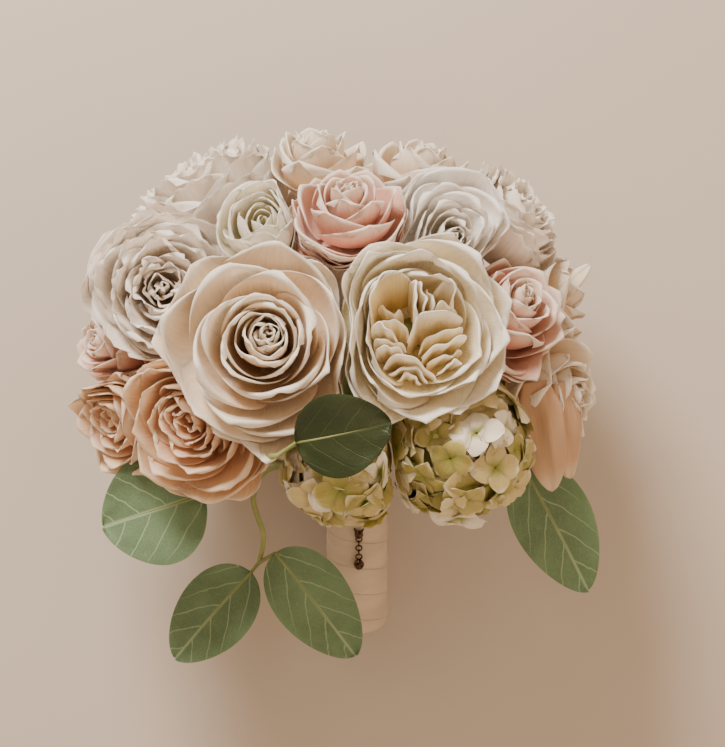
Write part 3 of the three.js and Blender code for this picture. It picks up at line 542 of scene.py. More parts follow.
def lathe_rings(profile, sides, at, axes, flutes=0.0, lobes=0):
    """The rings of a turned form: profile gives radius and height along the last of the three axes."""
    angle = 2 * math.pi * np.arange(sides) / sides
    x, y, z = axes
    across = (1 + flutes * np.cos(lobes * angle))[:, None] * circle(angle, x, y)
    return np.array([at + r * across + h * z for r, h in profile])


def add_lathe(piece, profile, sides, at, axes, grain=(0, 1, 0), material=0, **fluting):
    add_skin(piece, lathe_rings(profile, sides, at, axes, **fluting), grain, material)


def ball_profile(radius, count):
    """A half circle of points for the lathe."""
    angles = np.linspace(0.02, math.pi - 0.02, count)
    return [(radius * math.sin(a), -radius * math.cos(a)) for a in angles]


# Flowers
class Bloom:
    """Where a flower stands, and the frame its petals are made in: e1 and e2 across it, d out of it."""

    def __init__(self, name, kind, centre, radius, colour, facing=None):
        self.name = name
        self.kind = kind
        self.radius = radius
        self.colour = colour
        self.look = LOOKS.get(name, colour)
        self.slot = colour.split()[0] + "_petals"
        self.heart = np.array(HEART_SHIFT.get(name, (0, 0, 0)))
        self.centre = np.array(centre, float)
        self.d = unit(self.centre if facing is None else np.array(facing, float))
        self.e1 = unit(np.cross(AXIS, self.d))
        self.e2 = np.cross(self.d, self.e1)
        self.axes = (self.e1, self.e2, self.d)
        self.at_back = facing is None
        self.depth = radius * SHAPES[kind].depth
        self.base = self.centre - 0.5 * self.depth * self.d

    def place(self, x, y, z):
        x, y, z = np.broadcast_arrays(x, y, z)
        return self.base + x[..., None] * self.e1 + y[..., None] * self.e2 + z[..., None] * self.d


def back_bloom(name, kind, from_crown, around, distance, radius, colour):
    a, b = math.radians(from_crown), math.radians(around)
    way = AXIS * math.cos(a) + FRONT * math.sin(a) * math.cos(b) + RIGHT * math.sin(a) * math.sin(b)
    return Bloom(name, kind, way * distance, radius, colour)


blooms = [Bloom(*row) for row in FRONT_BLOOMS] + [back_bloom(*row) for row in BACK_BLOOMS]


class Seam:
    """The winding surface between two flowers that press on each other. Inside it, depth() is above 0."""

    def __init__(self, normal, offset, across=None, phase=0.0, amplitude=0.0):
        self.normal = normal
        self.offset = offset
        self.across = across
        self.phase = phase
        self.amplitude = amplitude

    def depth(self, points):
        depth = self.offset - points @ self.normal
        if self.amplitude:
            u, v = 2 * math.pi / WAVE_LENGTH * (points @ self.across.T).T
            depth = depth + 0.5 * self.amplitude * (np.sin(u + self.phase) + np.sin(1.3 * v - self.phase))
        return depth


def seams_of(bloom):
    """The seams with a flower's neighbours, and the floor. Both flowers of a pair wind the same way."""
    own = blooms.index(bloom)
    found = []
    for index, other in enumerate(blooms):
        between = other.centre - bloom.centre
        distance = np.linalg.norm(between)
        if other is bloom or distance >= NEIGHBOURS * (bloom.radius + other.radius):
            continue
        normal = between / distance
        share = (distance**2 + bloom.radius**2 - other.radius**2) / (2 * distance)
        offset = normal @ bloom.centre + share - (GAP + PETAL) / 2
        turn = 1 if own < index else -1
        first = unit(np.cross(turn * normal, [0.21, 0.55, 0.8]))
        across = np.array([first, unit(np.cross(turn * normal, first))])
        found.append(Seam(normal, offset, across, 1.7 * (own + index), turn * WAVE))
    found.append(Seam(-UP, REST_HEIGHT - FLOOR_GAP))
    return found


def press(points, seams, inset):
    """Points past a seam are pressed back inside it, the nearer the more, without crossing each other."""
    for seam in seams:
        depth = seam.depth(points) - inset
        past = -depth.min()
        if past <= 0:
            continue
        zone = max(PRESS_ZONE, 1.3 * past)
        q = (zone + past) / zone
        t = np.clip((zone - depth) / (zone + past), 0, None)
        goal = zone * (1 - (q * t - (q - 1) * t * t))
        points = points + np.where(depth < zone, depth - goal, 0)[:, None] * seam.normal
    for _ in range(4):
        for seam in seams:
            depth = seam.depth(points) - inset
            points = points + np.minimum(depth, 0)[:, None] * seam.normal
    return points


def press_sheets(bloom, groups):
    """Presses the grids of a flower's petals, a group at a time. The heart's keep a little more room."""
    seams = seams_of(bloom)
    left = sum(len(grids) for grids in groups)
    pressed = []
    for grids in groups:
        layers = LAYER * (left - 1 - np.arange(len(grids)))
        inset = np.repeat(layers, grids[0].size // 3)
        pressed.append(press(grids.reshape(-1, 3), seams, inset).reshape(grids.shape))
        left -= len(grids)
    return pressed


def bezier(p, t):
    u = 1 - t
    return u**3 * p[0] + 3 * u * u * t * p[1] + 3 * u * t * t * p[2] + t**3 * p[3]


def bezier_slope(p, t):
    u = 1 - t
    return 3 * (u * u * (p[1] - p[0]) + 2 * u * t * (p[2] - p[1]) + t * t * (p[3] - p[2]))


def station(kind, f):
    """The petal profile of that kind at f, between the rows of its table."""
    rows = PETALS[kind]
    wide = np.array([[*row[1], *row[2], *row[3:]] for row in rows])
    values = [np.interp(f, [row[0] for row in rows], column) for column in wide.T]
    return np.array(values[:4]), np.array(values[4:8]), values[8:]


def petal_width(t, point):
    """Half width of a petal along it, as a share of its greatest. More point makes the tip less round."""
    grow = 0.42 + 0.58 * np.sin(0.5 * math.pi * np.clip(t / PETAL_WIDEST, 0, 1))
    taper = np.clip((t - PETAL_WIDEST) / (1 - PETAL_WIDEST), 0, 1)
    last = 0.4 - 0.2 * point
    return grow * (last + (1 - last) * np.clip(1 - taper ** (2.4 - 0.7 * point), 0, 1) ** (0.5 + 0.2 * point))


def petal_grid(bloom, f, turn, rows, columns, rng):
    """One petal: a profile swung round the flower's axis, its edge rolled back and ruffled."""
    shape = SHAPES[bloom.kind]
    wild = shape.wild
    out, up, (reach, roll_middle, roll_side, curl) = station(bloom.kind, f)
    out = out * bloom.radius * (1 + 0.08 * wild * rng.uniform(-1, 1))
    up = up * bloom.depth * (1 + 0.07 * wild * rng.uniform(-1, 1))
    reach = reach * (1 + 0.25 * wild * rng.uniform(-1, 1))
    t, s = sheet_grid(rows, columns)
    t = 1 - (1 - t) ** 1.4
    s = 0.75 * s + 0.25 * np.sin(0.5 * math.pi * s)
    phase = rng.uniform(*ANY_ANGLE, 4)
    # How far along the profile each point lies: less at the sides and where the tip is notched or ragged
    ragged = 0.5 + 0.25 * np.sin(6 * s + phase[0]) + 0.35 * np.sin(15 * s + phase[1])
    point = min(f, 1) * shape.point * rng.uniform(0.6, 1.1)
    length = t * (1 - (0.16 + 0.06 * point) * np.abs(s) ** (3 - point)) * (1 - shape.notch * ragged * t**6)
    length = length + (0.03 + 0.05 * point) * (1 - np.abs(s)) ** 2 * t**6
    lean = rng.uniform(-0.06, 0.06) * s
    # The profile up to where the petal rolls back, and the roll beyond
    start = roll_middle + (roll_side - roll_middle) * np.abs(s) ** 1.2 + lean
    body = np.minimum(length, start)
    slope_out, slope_up = bezier_slope(out, body), bezier_slope(up, body)
    speed = np.hypot(slope_out, slope_up) + 1e-9
    ahead_out, ahead_up = slope_out / speed, slope_up / speed
    curl = curl * rng.uniform(0.75, 1.2)
    angle = ROLLED * (1 - np.exp(-curl * np.maximum(length - start, 0) / ROLLED))
    ahead, back = speed / curl * np.sin(angle), speed / curl * (1 - np.cos(angle))
    rho = bezier(out, body) + ahead * ahead_out + back * ahead_up
    z = bezier(up, body) + ahead * ahead_up - back * ahead_out
    # Ruffles and broad waves
    ruffles = np.sin(4.5 * s + phase[2]) + 0.6 * np.sin(9.5 * s + phase[3])
    wave = shape.ruffle * bloom.radius * t**2.5 * ruffles
    wave = wave + (0.010 + 0.03 * wild) * bloom.radius * t * np.sin(2.6 * s + phase[1])
    flare = 0.03 * bloom.radius * f * np.abs(s) ** 4 * t
    rho = rho * (1 + 0.055 * s) + (wave + flare) * ahead_up
    z = z - wave * ahead_out
    phi = turn + s * reach * petal_width(t, point) + (0.08 + 0.14 * wild) * rng.uniform(-1, 1) * t
    grid = bloom.place(rho * np.cos(phi), rho * np.sin(phi), z)
    return grid + t[..., None] * bloom.heart * max(1 - f, 0), marks_of(t, s, min(f, 1))


def petal_group(bloom, shares, first, rows, columns, rng):
    """The petals at these shares from heart to rim, one golden angle further round each."""
    return stacked([
        petal_grid(bloom, f, (first + k) * GOLDEN + 1 + rng.uniform(-0.15, 0.15), rows, columns, rng)
        for k, f in enumerate(shares)
    ])


def fold_group(bloom, rng):
    """The folds inside a garden rose: sheets with a wavy rim that rolls over. They stand along the curves of
    the table, and lean from their foot out to their rim."""
    # How far the flower's own frame is turned from the front view, about its axis
    front = math.atan2(-(RIGHT @ bloom.e2), RIGHT @ bloom.e1)
    u, t = np.meshgrid(np.linspace(0, 1, 24), 1 - (1 - np.linspace(0, 1, 18)) ** 1.5)
    folds = []
    for first, bend, last, high in FOLDS:
        sway = rng.uniform(*ANY_ANGLE, 3)
        curve = [(1 - u) ** 2 * first[c] + 2 * u * (1 - u) * bend[c] + u**2 * last[c] for c in (0, 1)]
        ways = np.stack([np.gradient(c, axis=1) for c in curve], -1)
        ways /= np.linalg.norm(ways, axis=-1, keepdims=True) + 1e-12
        rim = high * (1 - 0.3 * np.abs(2 * u - 1) ** 4) + 0.03 * np.sin(6 * u + sway[0])
        body = np.minimum(t, FOLD_ROLL) / FOLD_ROLL
        theta = 2.2 * np.clip((t - FOLD_ROLL) / (1 - FOLD_ROLL), 0, 1)
        waves = 0.02 * t**2 * np.sin(8 * u + sway[1]) + 0.01 * np.sin(17 * u + sway[2])
        push = 0.011 * (1 - np.cos(theta)) + waves
        z = FOLD_FOOT + (rim - FOLD_FOOT) * body + 0.011 * np.sin(theta)
        below = np.maximum(FOLD_UPRIGHT - z, 0)
        lean = FOLD_LEAN * below * np.clip(curve[1] - FOLD_EDGE, 0, 0.9)
        along = curve[0] * (1 - 0.5 * below) - push * ways[..., 1]
        x, y = turned(along, curve[1] - lean + push * ways[..., 0], front)
        size = FOLD_SIZE * bloom.radius
        grid = bloom.place(size * x, size * y, bloom.depth * z)
        folds.append((grid, marks_of(t, 2 * u - 1, 0.1 + 0.3 * rng.uniform())))
    return stacked(folds)


def receptacle(piece, bloom):
    """The green cone that a flower's petals stand on."""
    r, d = bloom.radius, bloom.depth
    profile = [(0.001, 0.0004), (0.10 * r, 0.0006), (0.17 * r, 0.05 * d), (0.17 * r, 0.18 * d),
               (0.10 * r, 0.30 * d), (0.001, 0.34 * d)]
    add_lathe(piece, profile, 16, bloom.base, bloom.axes, (0.5, 1, 0), 1)


def heart_knob(piece, bloom):
    """The pale knob that closes the middle of a peony."""
    r, d = bloom.radius, bloom.depth
    profile = [(0.001, 0.3 * d), (0.05 * r, 0.4 * d), (0.05 * r, 0.74 * d), (0.03 * r, 0.86 * d),
               (0.001, 0.9 * d)]
    add_lathe(piece, profile, 12, bloom.base + bloom.heart, bloom.axes, (0.5, 0, 0))


def grid_size(bloom):
    """Rows and columns of a petal's grid: finer on the large flowers in front, coarser at the back."""
    if bloom.kind == "peony":
        return (11, 11) if bloom.at_back else (16, 15)
    if bloom.radius > BIG:
        return 26, 19
    return (13, 11) if bloom.at_back else (18, 13)


def petal_flower(bloom, rng):
    """Any flower but a hydrangea: petals from the heart out, pressed by its neighbours, on a green cone."""
    piece = Piece()
    count = SHAPES[bloom.kind].count
    if bloom.at_back:
        count -= FEWER_AT_BACK
    if bloom.radius == LARGEST:
        count += MORE_ON_LARGEST
    # A garden rose has folds inside its innermost petals. A rose's petals crowd toward its heart.
    first = 0.62 if bloom.kind == "garden" else 0.0
    crowd = 1.3 if bloom.kind == "rose" else 0.9
    groups = [fold_group(bloom, rng)] if bloom.kind == "garden" else []
    shares = first + (1 - first) * np.linspace(0, 1, count) ** crowd
    groups.append(petal_group(bloom, shares, 0, *grid_size(bloom), rng))
    if bloom.name in SPREAD:
        for k, f in enumerate(np.linspace(1.02, 1.4, 14)):
            groups.append(petal_group(bloom, [f], count + k, 16, 15, rng))
    pressed = press_sheets(bloom, [grids for grids, _ in groups])
    for grids, (_, marks) in zip(pressed, groups):
        add_sheets(piece, grids, marks, rng.uniform(0, 1, len(grids)))
    tone = 2 if bloom.colour == "peach" else 0
    for petal in HANGING_PETALS.get(bloom.name, []):
        grids, marks = stacked([hanging_petal(*petal, rng)])
        add_sheets(piece, grids, marks, [rng.uniform(0, 1)], material=tone)
    receptacle(piece, bloom)
    if bloom.kind == "peony":
        heart_knob(piece, bloom)
    piece.build(bloom.name, [bloom.look, "green", "tan"])


def blade(base, tip, face, t, across, lift):
    """Points of a blade: t of the way from its base to its tip, and this far across and out of its face."""
    along = np.array(tip) - np.array(base)
    side = unit(np.cross(along, face))
    up = unit(np.cross(side, along))
    return np.array(base) + t[..., None] * along - across[..., None] * side + lift[..., None] * up


def hanging_petal(base, tip, face, half, rng):
    """A long broad petal with its sides rolled back and a lengthwise fold."""
    t, s = sheet_grid(34, 25)
    width = np.minimum(1, 0.55 + 1.8 * t) * (1 - np.clip((t - 0.25) / 0.75, 0, 1) ** 2.6) ** 0.65
    width = np.maximum(width, 0.02)
    rolled = 2.6 * np.sign(s) * np.clip((np.abs(s) - ROLL_FROM) / (1 - ROLL_FROM), 0, 1)
    flat = np.clip(s, -ROLL_FROM, ROLL_FROM) + 0.17 * np.sin(rolled)
    lift = -0.17 * (1 - np.cos(rolled)) * np.minimum(1, 3 * width)
    lift = lift + 0.16 * np.exp(-((s - 0.15 - 0.2 * t) / 0.22) ** 2) * np.sin(math.pi * t) ** 0.7
    lift = lift + 0.22 * np.sin(math.pi * t) + 0.05 * np.sin(9 * t + 3 * s + rng.uniform(*ANY_ANGLE))
    return blade(base, tip, face, t, 1.25 * half * flat * width, half * lift), marks_of(t, s, 1.0)


def hydrangea_head(bloom, rng):
    """A round head of four-petalled florets on a small core."""
    piece = Piece()
    middle = bloom.place(0, 0, 0.5 * bloom.depth)
    count = SHAPES[bloom.kind].count
    if bloom.radius < SMALL_HEAD:
        count -= FEWER_FLORETS
    seams = seams_of(bloom)
    petals = []
    for k in range(count):
        up = 1 - FLORETS_DOWN * (k + 0.5) / count
        out = bloom.d * up + math.sqrt(1 - up * up) * circle(k * GOLDEN, bloom.e1, bloom.e2)
        out = unit(out + rng.normal(0, 0.1, 3))
        at = middle + out * bloom.radius * rng.uniform(*FLORETS_OUT)
        if min(seam.depth(at[None])[0] for seam in seams) < -FLORET_HIDDEN:
            continue
        out = unit(out + rng.normal(0, 0.22, 3))
        across = unit(np.cross(out, [0.3, 0.7, 0.2]))
        axes = (across, np.cross(out, across), out)
        size = rng.uniform(*FLORET_SIZES)
        spin = rng.uniform(*ANY_ANGLE)
        shade = rng.uniform(0, 1)
        for petal in range(4):
            turn = spin + petal * math.pi / 2 + rng.uniform(-0.1, 0.1)
            petals.append(floret_petal(at, axes, turn, size * rng.uniform(0.92, 1.08), shade, rng))
    grids, marks = stacked(petals)
    grids = press(grids.reshape(-1, 3), seams, 0.0).reshape(grids.shape)
    add_sheets(piece, grids, marks, marks[:, 0, 0, 2])
    core = lathe_rings(ball_profile(HYDRANGEA_CORE * bloom.radius, 14), 24, middle, bloom.axes)
    core = press(core.reshape(-1, 3), seams, 0.001).reshape(core.shape)
    add_skin(piece, core, (0.5, 1, 0))
    piece.build(bloom.name, [bloom.look])


def floret_petal(at, axes, turn, size, shade, rng):
    """A broad rounded petal with a short foot, cupped and a little wavy."""
    x, y, out = axes
    t, s = sheet_grid(8, 7)
    width = 0.52 * size * np.sin(math.pi * np.clip(0.06 + 0.86 * t, 0, 1)) ** 0.62
    ahead = size * (0.04 + t * (1 - 0.10 * s**2))
    lift = size * (0.4 * t * (1 - t) + 0.12 * s**2 * t + rng.uniform(-0.22, 0.12) * t**2)
    lift = lift + 0.04 * size * t * np.sin(4 * s + rng.uniform(*ANY_ANGLE))
    px, py = turned(ahead, width * s, turn)
    grid = at + px[..., None] * x + py[..., None] * y + lift[..., None] * out
    return grid, marks_of(t, s, shade)


# Stems
def curve_points(points, count):
    """Evenly spaced points of a smooth curve through the given ones."""
    points = [np.asarray(p, float) for p in points]
    points = [2 * points[0] - points[1], *points, 2 * points[-1] - points[-2]]
    w = np.linspace(0, 1, 41)[:-1, None]
    fine = []
    for p0, p1, p2, p3 in zip(points, points[1:], points[2:], points[3:]):
        d0, d1, d2 = (math.sqrt(np.linalg.norm(b - a)) for a, b in ((p0, p1), (p1, p2), (p2, p3)))
        m1 = ((p1 - p0) / d0 - (p2 - p0) / (d0 + d1) + (p2 - p1) / d1) * d1
        m2 = ((p2 - p1) / d1 - (p3 - p1) / (d1 + d2) + (p3 - p2) / d2) * d1
        fine.append(p1 + m1 * w + (3 * (p2 - p1) - 2 * m1 - m2) * w**2 + (2 * (p1 - p2) + m1 + m2) * w**3)
    fine = np.concatenate([*fine, points[-2][None]])
    run = np.concatenate([[0], np.cumsum(np.linalg.norm(np.diff(fine, axis=0), axis=1))])
    at = np.linspace(0, run[-1], count)
    return np.stack([np.interp(at, run, fine[:, c]) for c in range(3)], -1)


def bundle_slots(count):
    """Places for stems side by side round the handle's axis, the middle ones first."""
    steps = range(-3, 4)
    slots = [(STEM_PITCH * (a + b / 2), STEM_PITCH * b * math.sqrt(3) / 2) for a in steps for b in steps]
    near = sorted(slots, key=lambda p: math.hypot(*p) * 1000 + 0.001 * math.atan2(p[1], p[0]))
    return (near[:FULL_SLOTS] + near[FULL_SLOTS:ALL_SLOTS:2])[:count]


def wished_slot(start):
    """Where round the handle's axis a stem would best stand that comes in from here."""
    rel = start - HANDLE_SHIFT * RIGHT
    x, y = rel @ RIGHT, rel @ FRONT
    flat = math.hypot(x, y) or 0.001
    lift = math.atan2(flat, max(rel @ AXIS + NECK, 0.001))
    return np.array([x, y]) * SLOT_REACH * lift / flat


def assign_slots(starts):
    """A slot for each stem. Two stems trade theirs while that brings them nearer to what they wish."""
    slots = np.array(bundle_slots(len(starts)))
    wish = np.array([wished_slot(start) for start in starts])
    cost = ((wish[:, None] - slots[None]) ** 2).sum(-1)
    chosen = list(range(len(starts)))
    for _ in range(SLOT_ROUNDS):
        for i in range(len(chosen)):
            for j in range(i + 1, len(chosen)):
                a, b = chosen[i], chosen[j]
                if cost[i, b] + cost[j, a] < cost[i, a] + cost[j, b] - 1e-15:
                    chosen[i], chosen[j] = b, a
    return [slots[k] for k in chosen]


def neck_path(slot):
    """The way of a stem from the neck down the handle."""
    x, y = slot
    return [
        handle_at(NECK, NECK_SPREAD * x, NECK_SPREAD * y),
        handle_at(WRAP_TOP - 0.009, x, y),
        handle_at((WRAP_TOP + STEM_END) / 2, x, y),
        handle_at(STEM_END, x, y),
    ]


by_name = {bloom.name: bloom for bloom in blooms}
stem_starts = [np.mean([by_name[flower].base for flower in flowers], axis=0) for _, flowers in STEMS]
spray_starts = [2 * np.array(way[-1]) for _, _, way, _ in SPRAYS]
slots = assign_slots(stem_starts + spray_starts)


def add_calyx(piece, bloom, rng):
    """The green cup under a flower with its five pointed sepals."""
    size = 0.2 * bloom.radius + 0.005
    add_lathe(piece, CALYX, 16, bloom.base, bloom.axes, (0.3, 1, 0))
    t, s = sheet_grid(8, 5)
    width = 0.34 * size * np.sin(math.pi * (0.25 + 0.74 * t)) ** 0.9
    ahead = SEPAL_FOOT + (size - SEPAL_FOOT) * t
    sepals = []
    for k in range(5):
        drop = 0.0008 + 0.3 * size * t**1.6 - 0.12 * size * s**2 * t * (1 - t) + rng.uniform(0, 0.001) * t**2
        x, y = turned(ahead, width * s, 2 * math.pi * (k + 0.5) / 5)
        sepals.append((bloom.place(x, y, -drop), marks_of(t, s)))
    grids, marks = stacked(sepals)
    add_sheets(piece, grids, marks, [0.3] * 5)


def stem(name, flowers, slot, rng):
    """A flower's stem down to the handle's end. The thinner one of a second flower joins it at the neck."""
    piece = Piece()
    neck = neck_path(slot)
    joint = neck[0] + BRANCH_JOINS * (neck[1] - neck[0])
    kinds = ((neck, 46, STEM_RADIUS), ([joint], 26, BRANCH * STEM_RADIUS))
    for flower, (lower, count, radius) in zip(flowers, kinds):
        bloom = by_name[flower]
        top, under = bloom.place(0, 0, -STEM_TOP), bloom.place(0, 0, -STEM_UNDER)
        inward = under + STEM_BEND * (neck[0] - under) + STEM_LIFT * AXIS
        path = curve_points([top, under, inward, *lower], count)
        swell = 1 + 0.35 * np.exp(-((np.arange(count) / 1.6) ** 2))
        add_tube(piece, path, radius * swell, 10, (rng.uniform(0, 1), 1, 0))
        add_calyx(piece, bloom, rng)
    piece.build(name, ["green"])


# Leaves
def leaf_grid(base, tip, face, half, rng):
    """An egg-shaped blade with a short point, folded a little along its rib and gently waved."""
    t, s = sheet_grid(LEAF_ROWS, LEAF_COLUMNS)
    t = 0.5 - 0.5 * np.cos(math.pi * t)
    off = np.abs(s)
    width = np.maximum(0.02, np.sin(math.pi * t**LEAF_SWELL) ** LEAF_BLUNT * (1 - LEAF_TAPER * t))
    phase = rng.uniform(*ANY_ANGLE, 2)
    lift = 0.1 * off**1.4 + 0.12 * np.sin(math.pi * t)
    lift = lift + 0.04 * off**2 * np.sin(7 * t + phase[0] + 1.5 * s)
    lift = lift + 0.048 * np.sin(13 * t - 6 * off) * off * (1 - off)
    lift = lift + 0.06 * np.sin(phase[1]) * s * t
    return blade(base, tip, face, t, half * s * width, half * lift), marks_of(t, s, width)


def spray(name, slot_name, way, leaves, slot, rng):
    """A stalk down to the handle's end, with leaves whose own stalks start at one of its joints."""
    piece = Piece()
    points = [*way, *neck_path(slot)]
    joints = curve_points(points, 11)
    taper = 0.75 + 0.25 * np.linspace(0, 1, 60) ** 0.4
    add_tube(piece, curve_points(points, 60), SPRAY_RADIUS * taper, 10, (rng.uniform(0, 1), 1, 0), 1)
    for leaf in leaves:
        base = np.array(leaf[0])
        joint = joints[np.argmin(np.linalg.norm(joints - base, axis=1))]
        grids, marks = stacked([leaf_grid(*leaf, rng)])
        rib = grids[0, :RIB_ROWS, LEAF_COLUMNS // 2]
        stalk = np.concatenate([np.linspace(joint, base, 12)[:-1], rib])
        radii = np.interp(np.linspace(0, 1, len(stalk)), [0, 0.28, 0.5, 1], [0.0011, 0.0009, 0.0007, 0.0003])
        add_tube(piece, stalk, radii, 8, (rng.uniform(0, 1), 1, 0), 1)
        add_sheets(piece, grids, marks, [rng.uniform(0, 1)], LEAF)
    piece.build(name, [slot_name, "twig"])


# Ribbon, pin and charm
def ribbon_wrap():
    """Satin ribbon wound round the stems: overlapping turns, small creases, and both ends turned in."""
    piece = Piece()
    sides, rows = 108, 200
    angles = -2 * math.pi * np.arange(sides) / sides
    inside = (HANDLE_END - 0.0002, (WRAP_TOP + HANDLE_END) / 2, WRAP_TOP + 0.0002)
    a, along = np.meshgrid(angles, np.concatenate([np.linspace(WRAP_TOP, HANDLE_END, rows), inside]))
    turn = (along / RIBBON + 0.5 * a / math.pi + 0.25 * np.sin(a)) % 1.0
    step = RIBBON_STEP * np.minimum(turn / RIBBON_EDGE, (1 - turn) / (1 - RIBBON_EDGE))
    crease = 0.00005 * np.sin(9 * a + 420 * along) * np.sin(160 * along + 2 * a)
    crease = crease + 0.00007 * np.sin(900 * along + 5 * np.sin(2 * a))
    bulge = 0.0001 * np.sin(2 * a + 1.0) + 0.0001 * np.sin(3 * a + 60 * along)
    end = np.clip(np.minimum(along - WRAP_TOP, HANDLE_END - along) / 0.0015, 0, 1)
    radius = WRAP_OUTER - 0.0003 + (step + crease + bulge) * end - 0.0005 * (1 - end) ** 2
    radius[rows:] = WRAP_INNER
    rings = HANDLE_SHIFT * RIGHT - along[..., None] * AXIS + radius[..., None] * circle(a, RIGHT, FRONT)
    add_skin(piece, rings, marks_of(turn, np.ones(turn.shape)).reshape(-1, 3), closed=True)
    piece.build("handle_wrap", ["ribbon"])


def on_wrap(along, around, out):
    """A point this far along the handle, so many degrees round it from its front, and out of the ribbon."""
    a = math.radians(around)
    return handle_at(along, (WRAP_OUTER + out) * math.sin(a), (WRAP_OUTER + out) * math.cos(a))


def pearl_pin():
    """The pearl head of a pin that stands in the ribbon."""
    piece = Piece()
    out = circle(math.radians(PIN_AROUND), FRONT, RIGHT)
    axes = (AXIS, np.cross(out, AXIS), out)
    add_lathe(piece, ball_profile(PEARL_RADIUS, 20), 28, on_wrap(PIN_ALONG, PIN_AROUND, 0.0024), axes)
    piece.build("pearl_pin_head", ["pearl"])


def ring_link(piece, at, radius, normal):
    """A round wire bent to a ring about the normal."""
    turn = 2 * math.pi * np.arange(10) / 10
    ways = circle(2 * math.pi * np.arange(28) / 28, AXIS, np.cross(normal, AXIS))
    rings = np.array([at + radius * out + LINK_WIRE * circle(turn, out, normal) for out in ways])
    add_skin(piece, rings[:, ::-1], closed=True)


def charm():
    """A small dark clasp, a chain of five links and a fluted bead, hanging along the handle."""
    piece = Piece()
    head = on_wrap(CLASP_ALONG, CHARM_AROUND, 0.0027)
    add_lathe(piece, ball_profile(0.0024, 18), 24, head, (RIGHT, np.cross(FRONT, RIGHT), FRONT))
    for side in (-1, 1):
        lug = on_wrap(LUGS_ALONG, CHARM_AROUND, 0.0024) + 0.0024 * side * RIGHT
        path = np.linspace(head + 0.0006 * side * RIGHT, lug, 8)
        add_tube(piece, path, np.linspace(0.0010, 0.0006, 8), 12)
    for k in range(5):
        radius, normal = (0.0015, RIGHT) if k % 2 else (0.00165, FRONT)
        ring_link(piece, on_wrap(LINKS_ALONG + LINK_STEP * k, CHARM_AROUND + 0.1, 0.0022), radius, normal)
    at = on_wrap(BEAD_ALONG, CHARM_AROUND, 0.0030)
    add_lathe(piece, BEAD, 56, at, (FRONT, RIGHT, AXIS), flutes=0.07, lobes=8)
    piece.build("charm_chain", ["bronze"])


# Materials
def colour_of(text):
    """Linear RGBA from a hex colour."""
    parts = [int(text[i:i + 2], 16) / 255 for i in (0, 2, 4)]
    return [c / 12.92 if c <= 0.04045 else ((c + 0.055) / 1.055) ** 2.4 for c in parts] + [1.0]


class Graph:
    """A material's nodes, with short calls for the kinds used here. Colours are given in hex."""

    def __init__(self, name):
        self.material = bpy.data.materials.new(name)
        self.material.use_nodes = True
        self.tree = self.material.node_tree
        self.tree.nodes.clear()

    def add(self, kind, inputs=None, **settings):
        node = self.tree.nodes.new(kind)
        for key, value in settings.items():
            setattr(node, key, value)
        for key, value in (inputs or {}).items():
            if isinstance(value, bpy.types.NodeSocket):
                self.tree.links.new(value, node.inputs[key])
            else:
                node.inputs[key].default_value = colour_of(value) if isinstance(value, str) else value
        return node

    def math(self, operation, a, b=0.0):
        return self.add("ShaderNodeMath", {0: a, 1: b}, operation=operation).outputs[0]

    def times(self, a, b):
        return self.math("MULTIPLY", a, b)

    def plus(self, a, b):
        return self.math("ADD", a, b)

    def remap(self, value, low, high, new_low=0.0, new_high=1.0):
        inputs = {"Value": value, "From Min": low, "From Max": high, "To Min": new_low, "To Max": new_high}
        return self.add("ShaderNodeMapRange", inputs, interpolation_type="SMOOTHSTEP").outputs[0]

    def mix(self, share, a, b, blend="MIX"):
        inputs = {0: share, 6: a, 7: b}
        return self.add("ShaderNodeMix", inputs, data_type="RGBA", blend_type=blend).outputs[2]

    def attribute(self, name):
        vector = self.add("ShaderNodeAttribute", attribute_name=name).outputs["Vector"]
        return self.add("ShaderNodeSeparateXYZ", {0: vector}).outputs

    def vector(self, x, y, z):
        return self.add("ShaderNodeCombineXYZ", {0: x, 1: y, 2: z}).outputs[0]

    def noise(self, vector, scale, detail=2.0, rough=0.5):
        inputs = {"Vector": vector, "Scale": scale, "Detail": detail, "Roughness": rough}
        return self.add("ShaderNodeTexNoise", inputs).outputs["Fac"]

    def clouds(self, scale, detail=3.0, rough=0.6):
        """Noise that is the same in all directions."""
        return self.noise(self.add("ShaderNodeTexCoord").outputs["Object"], scale, detail, rough)

    def streaks(self, values, stretch, detail=3.0, rough=0.6):
        """Noise over two or three values at a point, each stretched by its own factor."""
        scaled = [self.times(value, factor) for value, factor in zip(values, stretch)]
        return self.noise(self.vector(*scaled, *[0.0] * (3 - len(scaled))), 1.0, detail, rough)

    def bump(self, height, strength, distance):
        inputs = {"Height": height, "Strength": strength, "Distance": distance}
        return self.add("ShaderNodeBump", inputs).outputs[0]

    def finish(self, inputs):
        shader = self.add("ShaderNodeBsdfPrincipled", inputs)
        self.add("ShaderNodeOutputMaterial", {"Surface": shader.outputs[0]})
        return self.material


def soft(weight, *radius):
    """Light that passes into a surface, and how far its red, green and blue go, in metres."""
    return {"Subsurface Weight": weight, "Subsurface Radius": radius, "Subsurface Scale": 1.0}


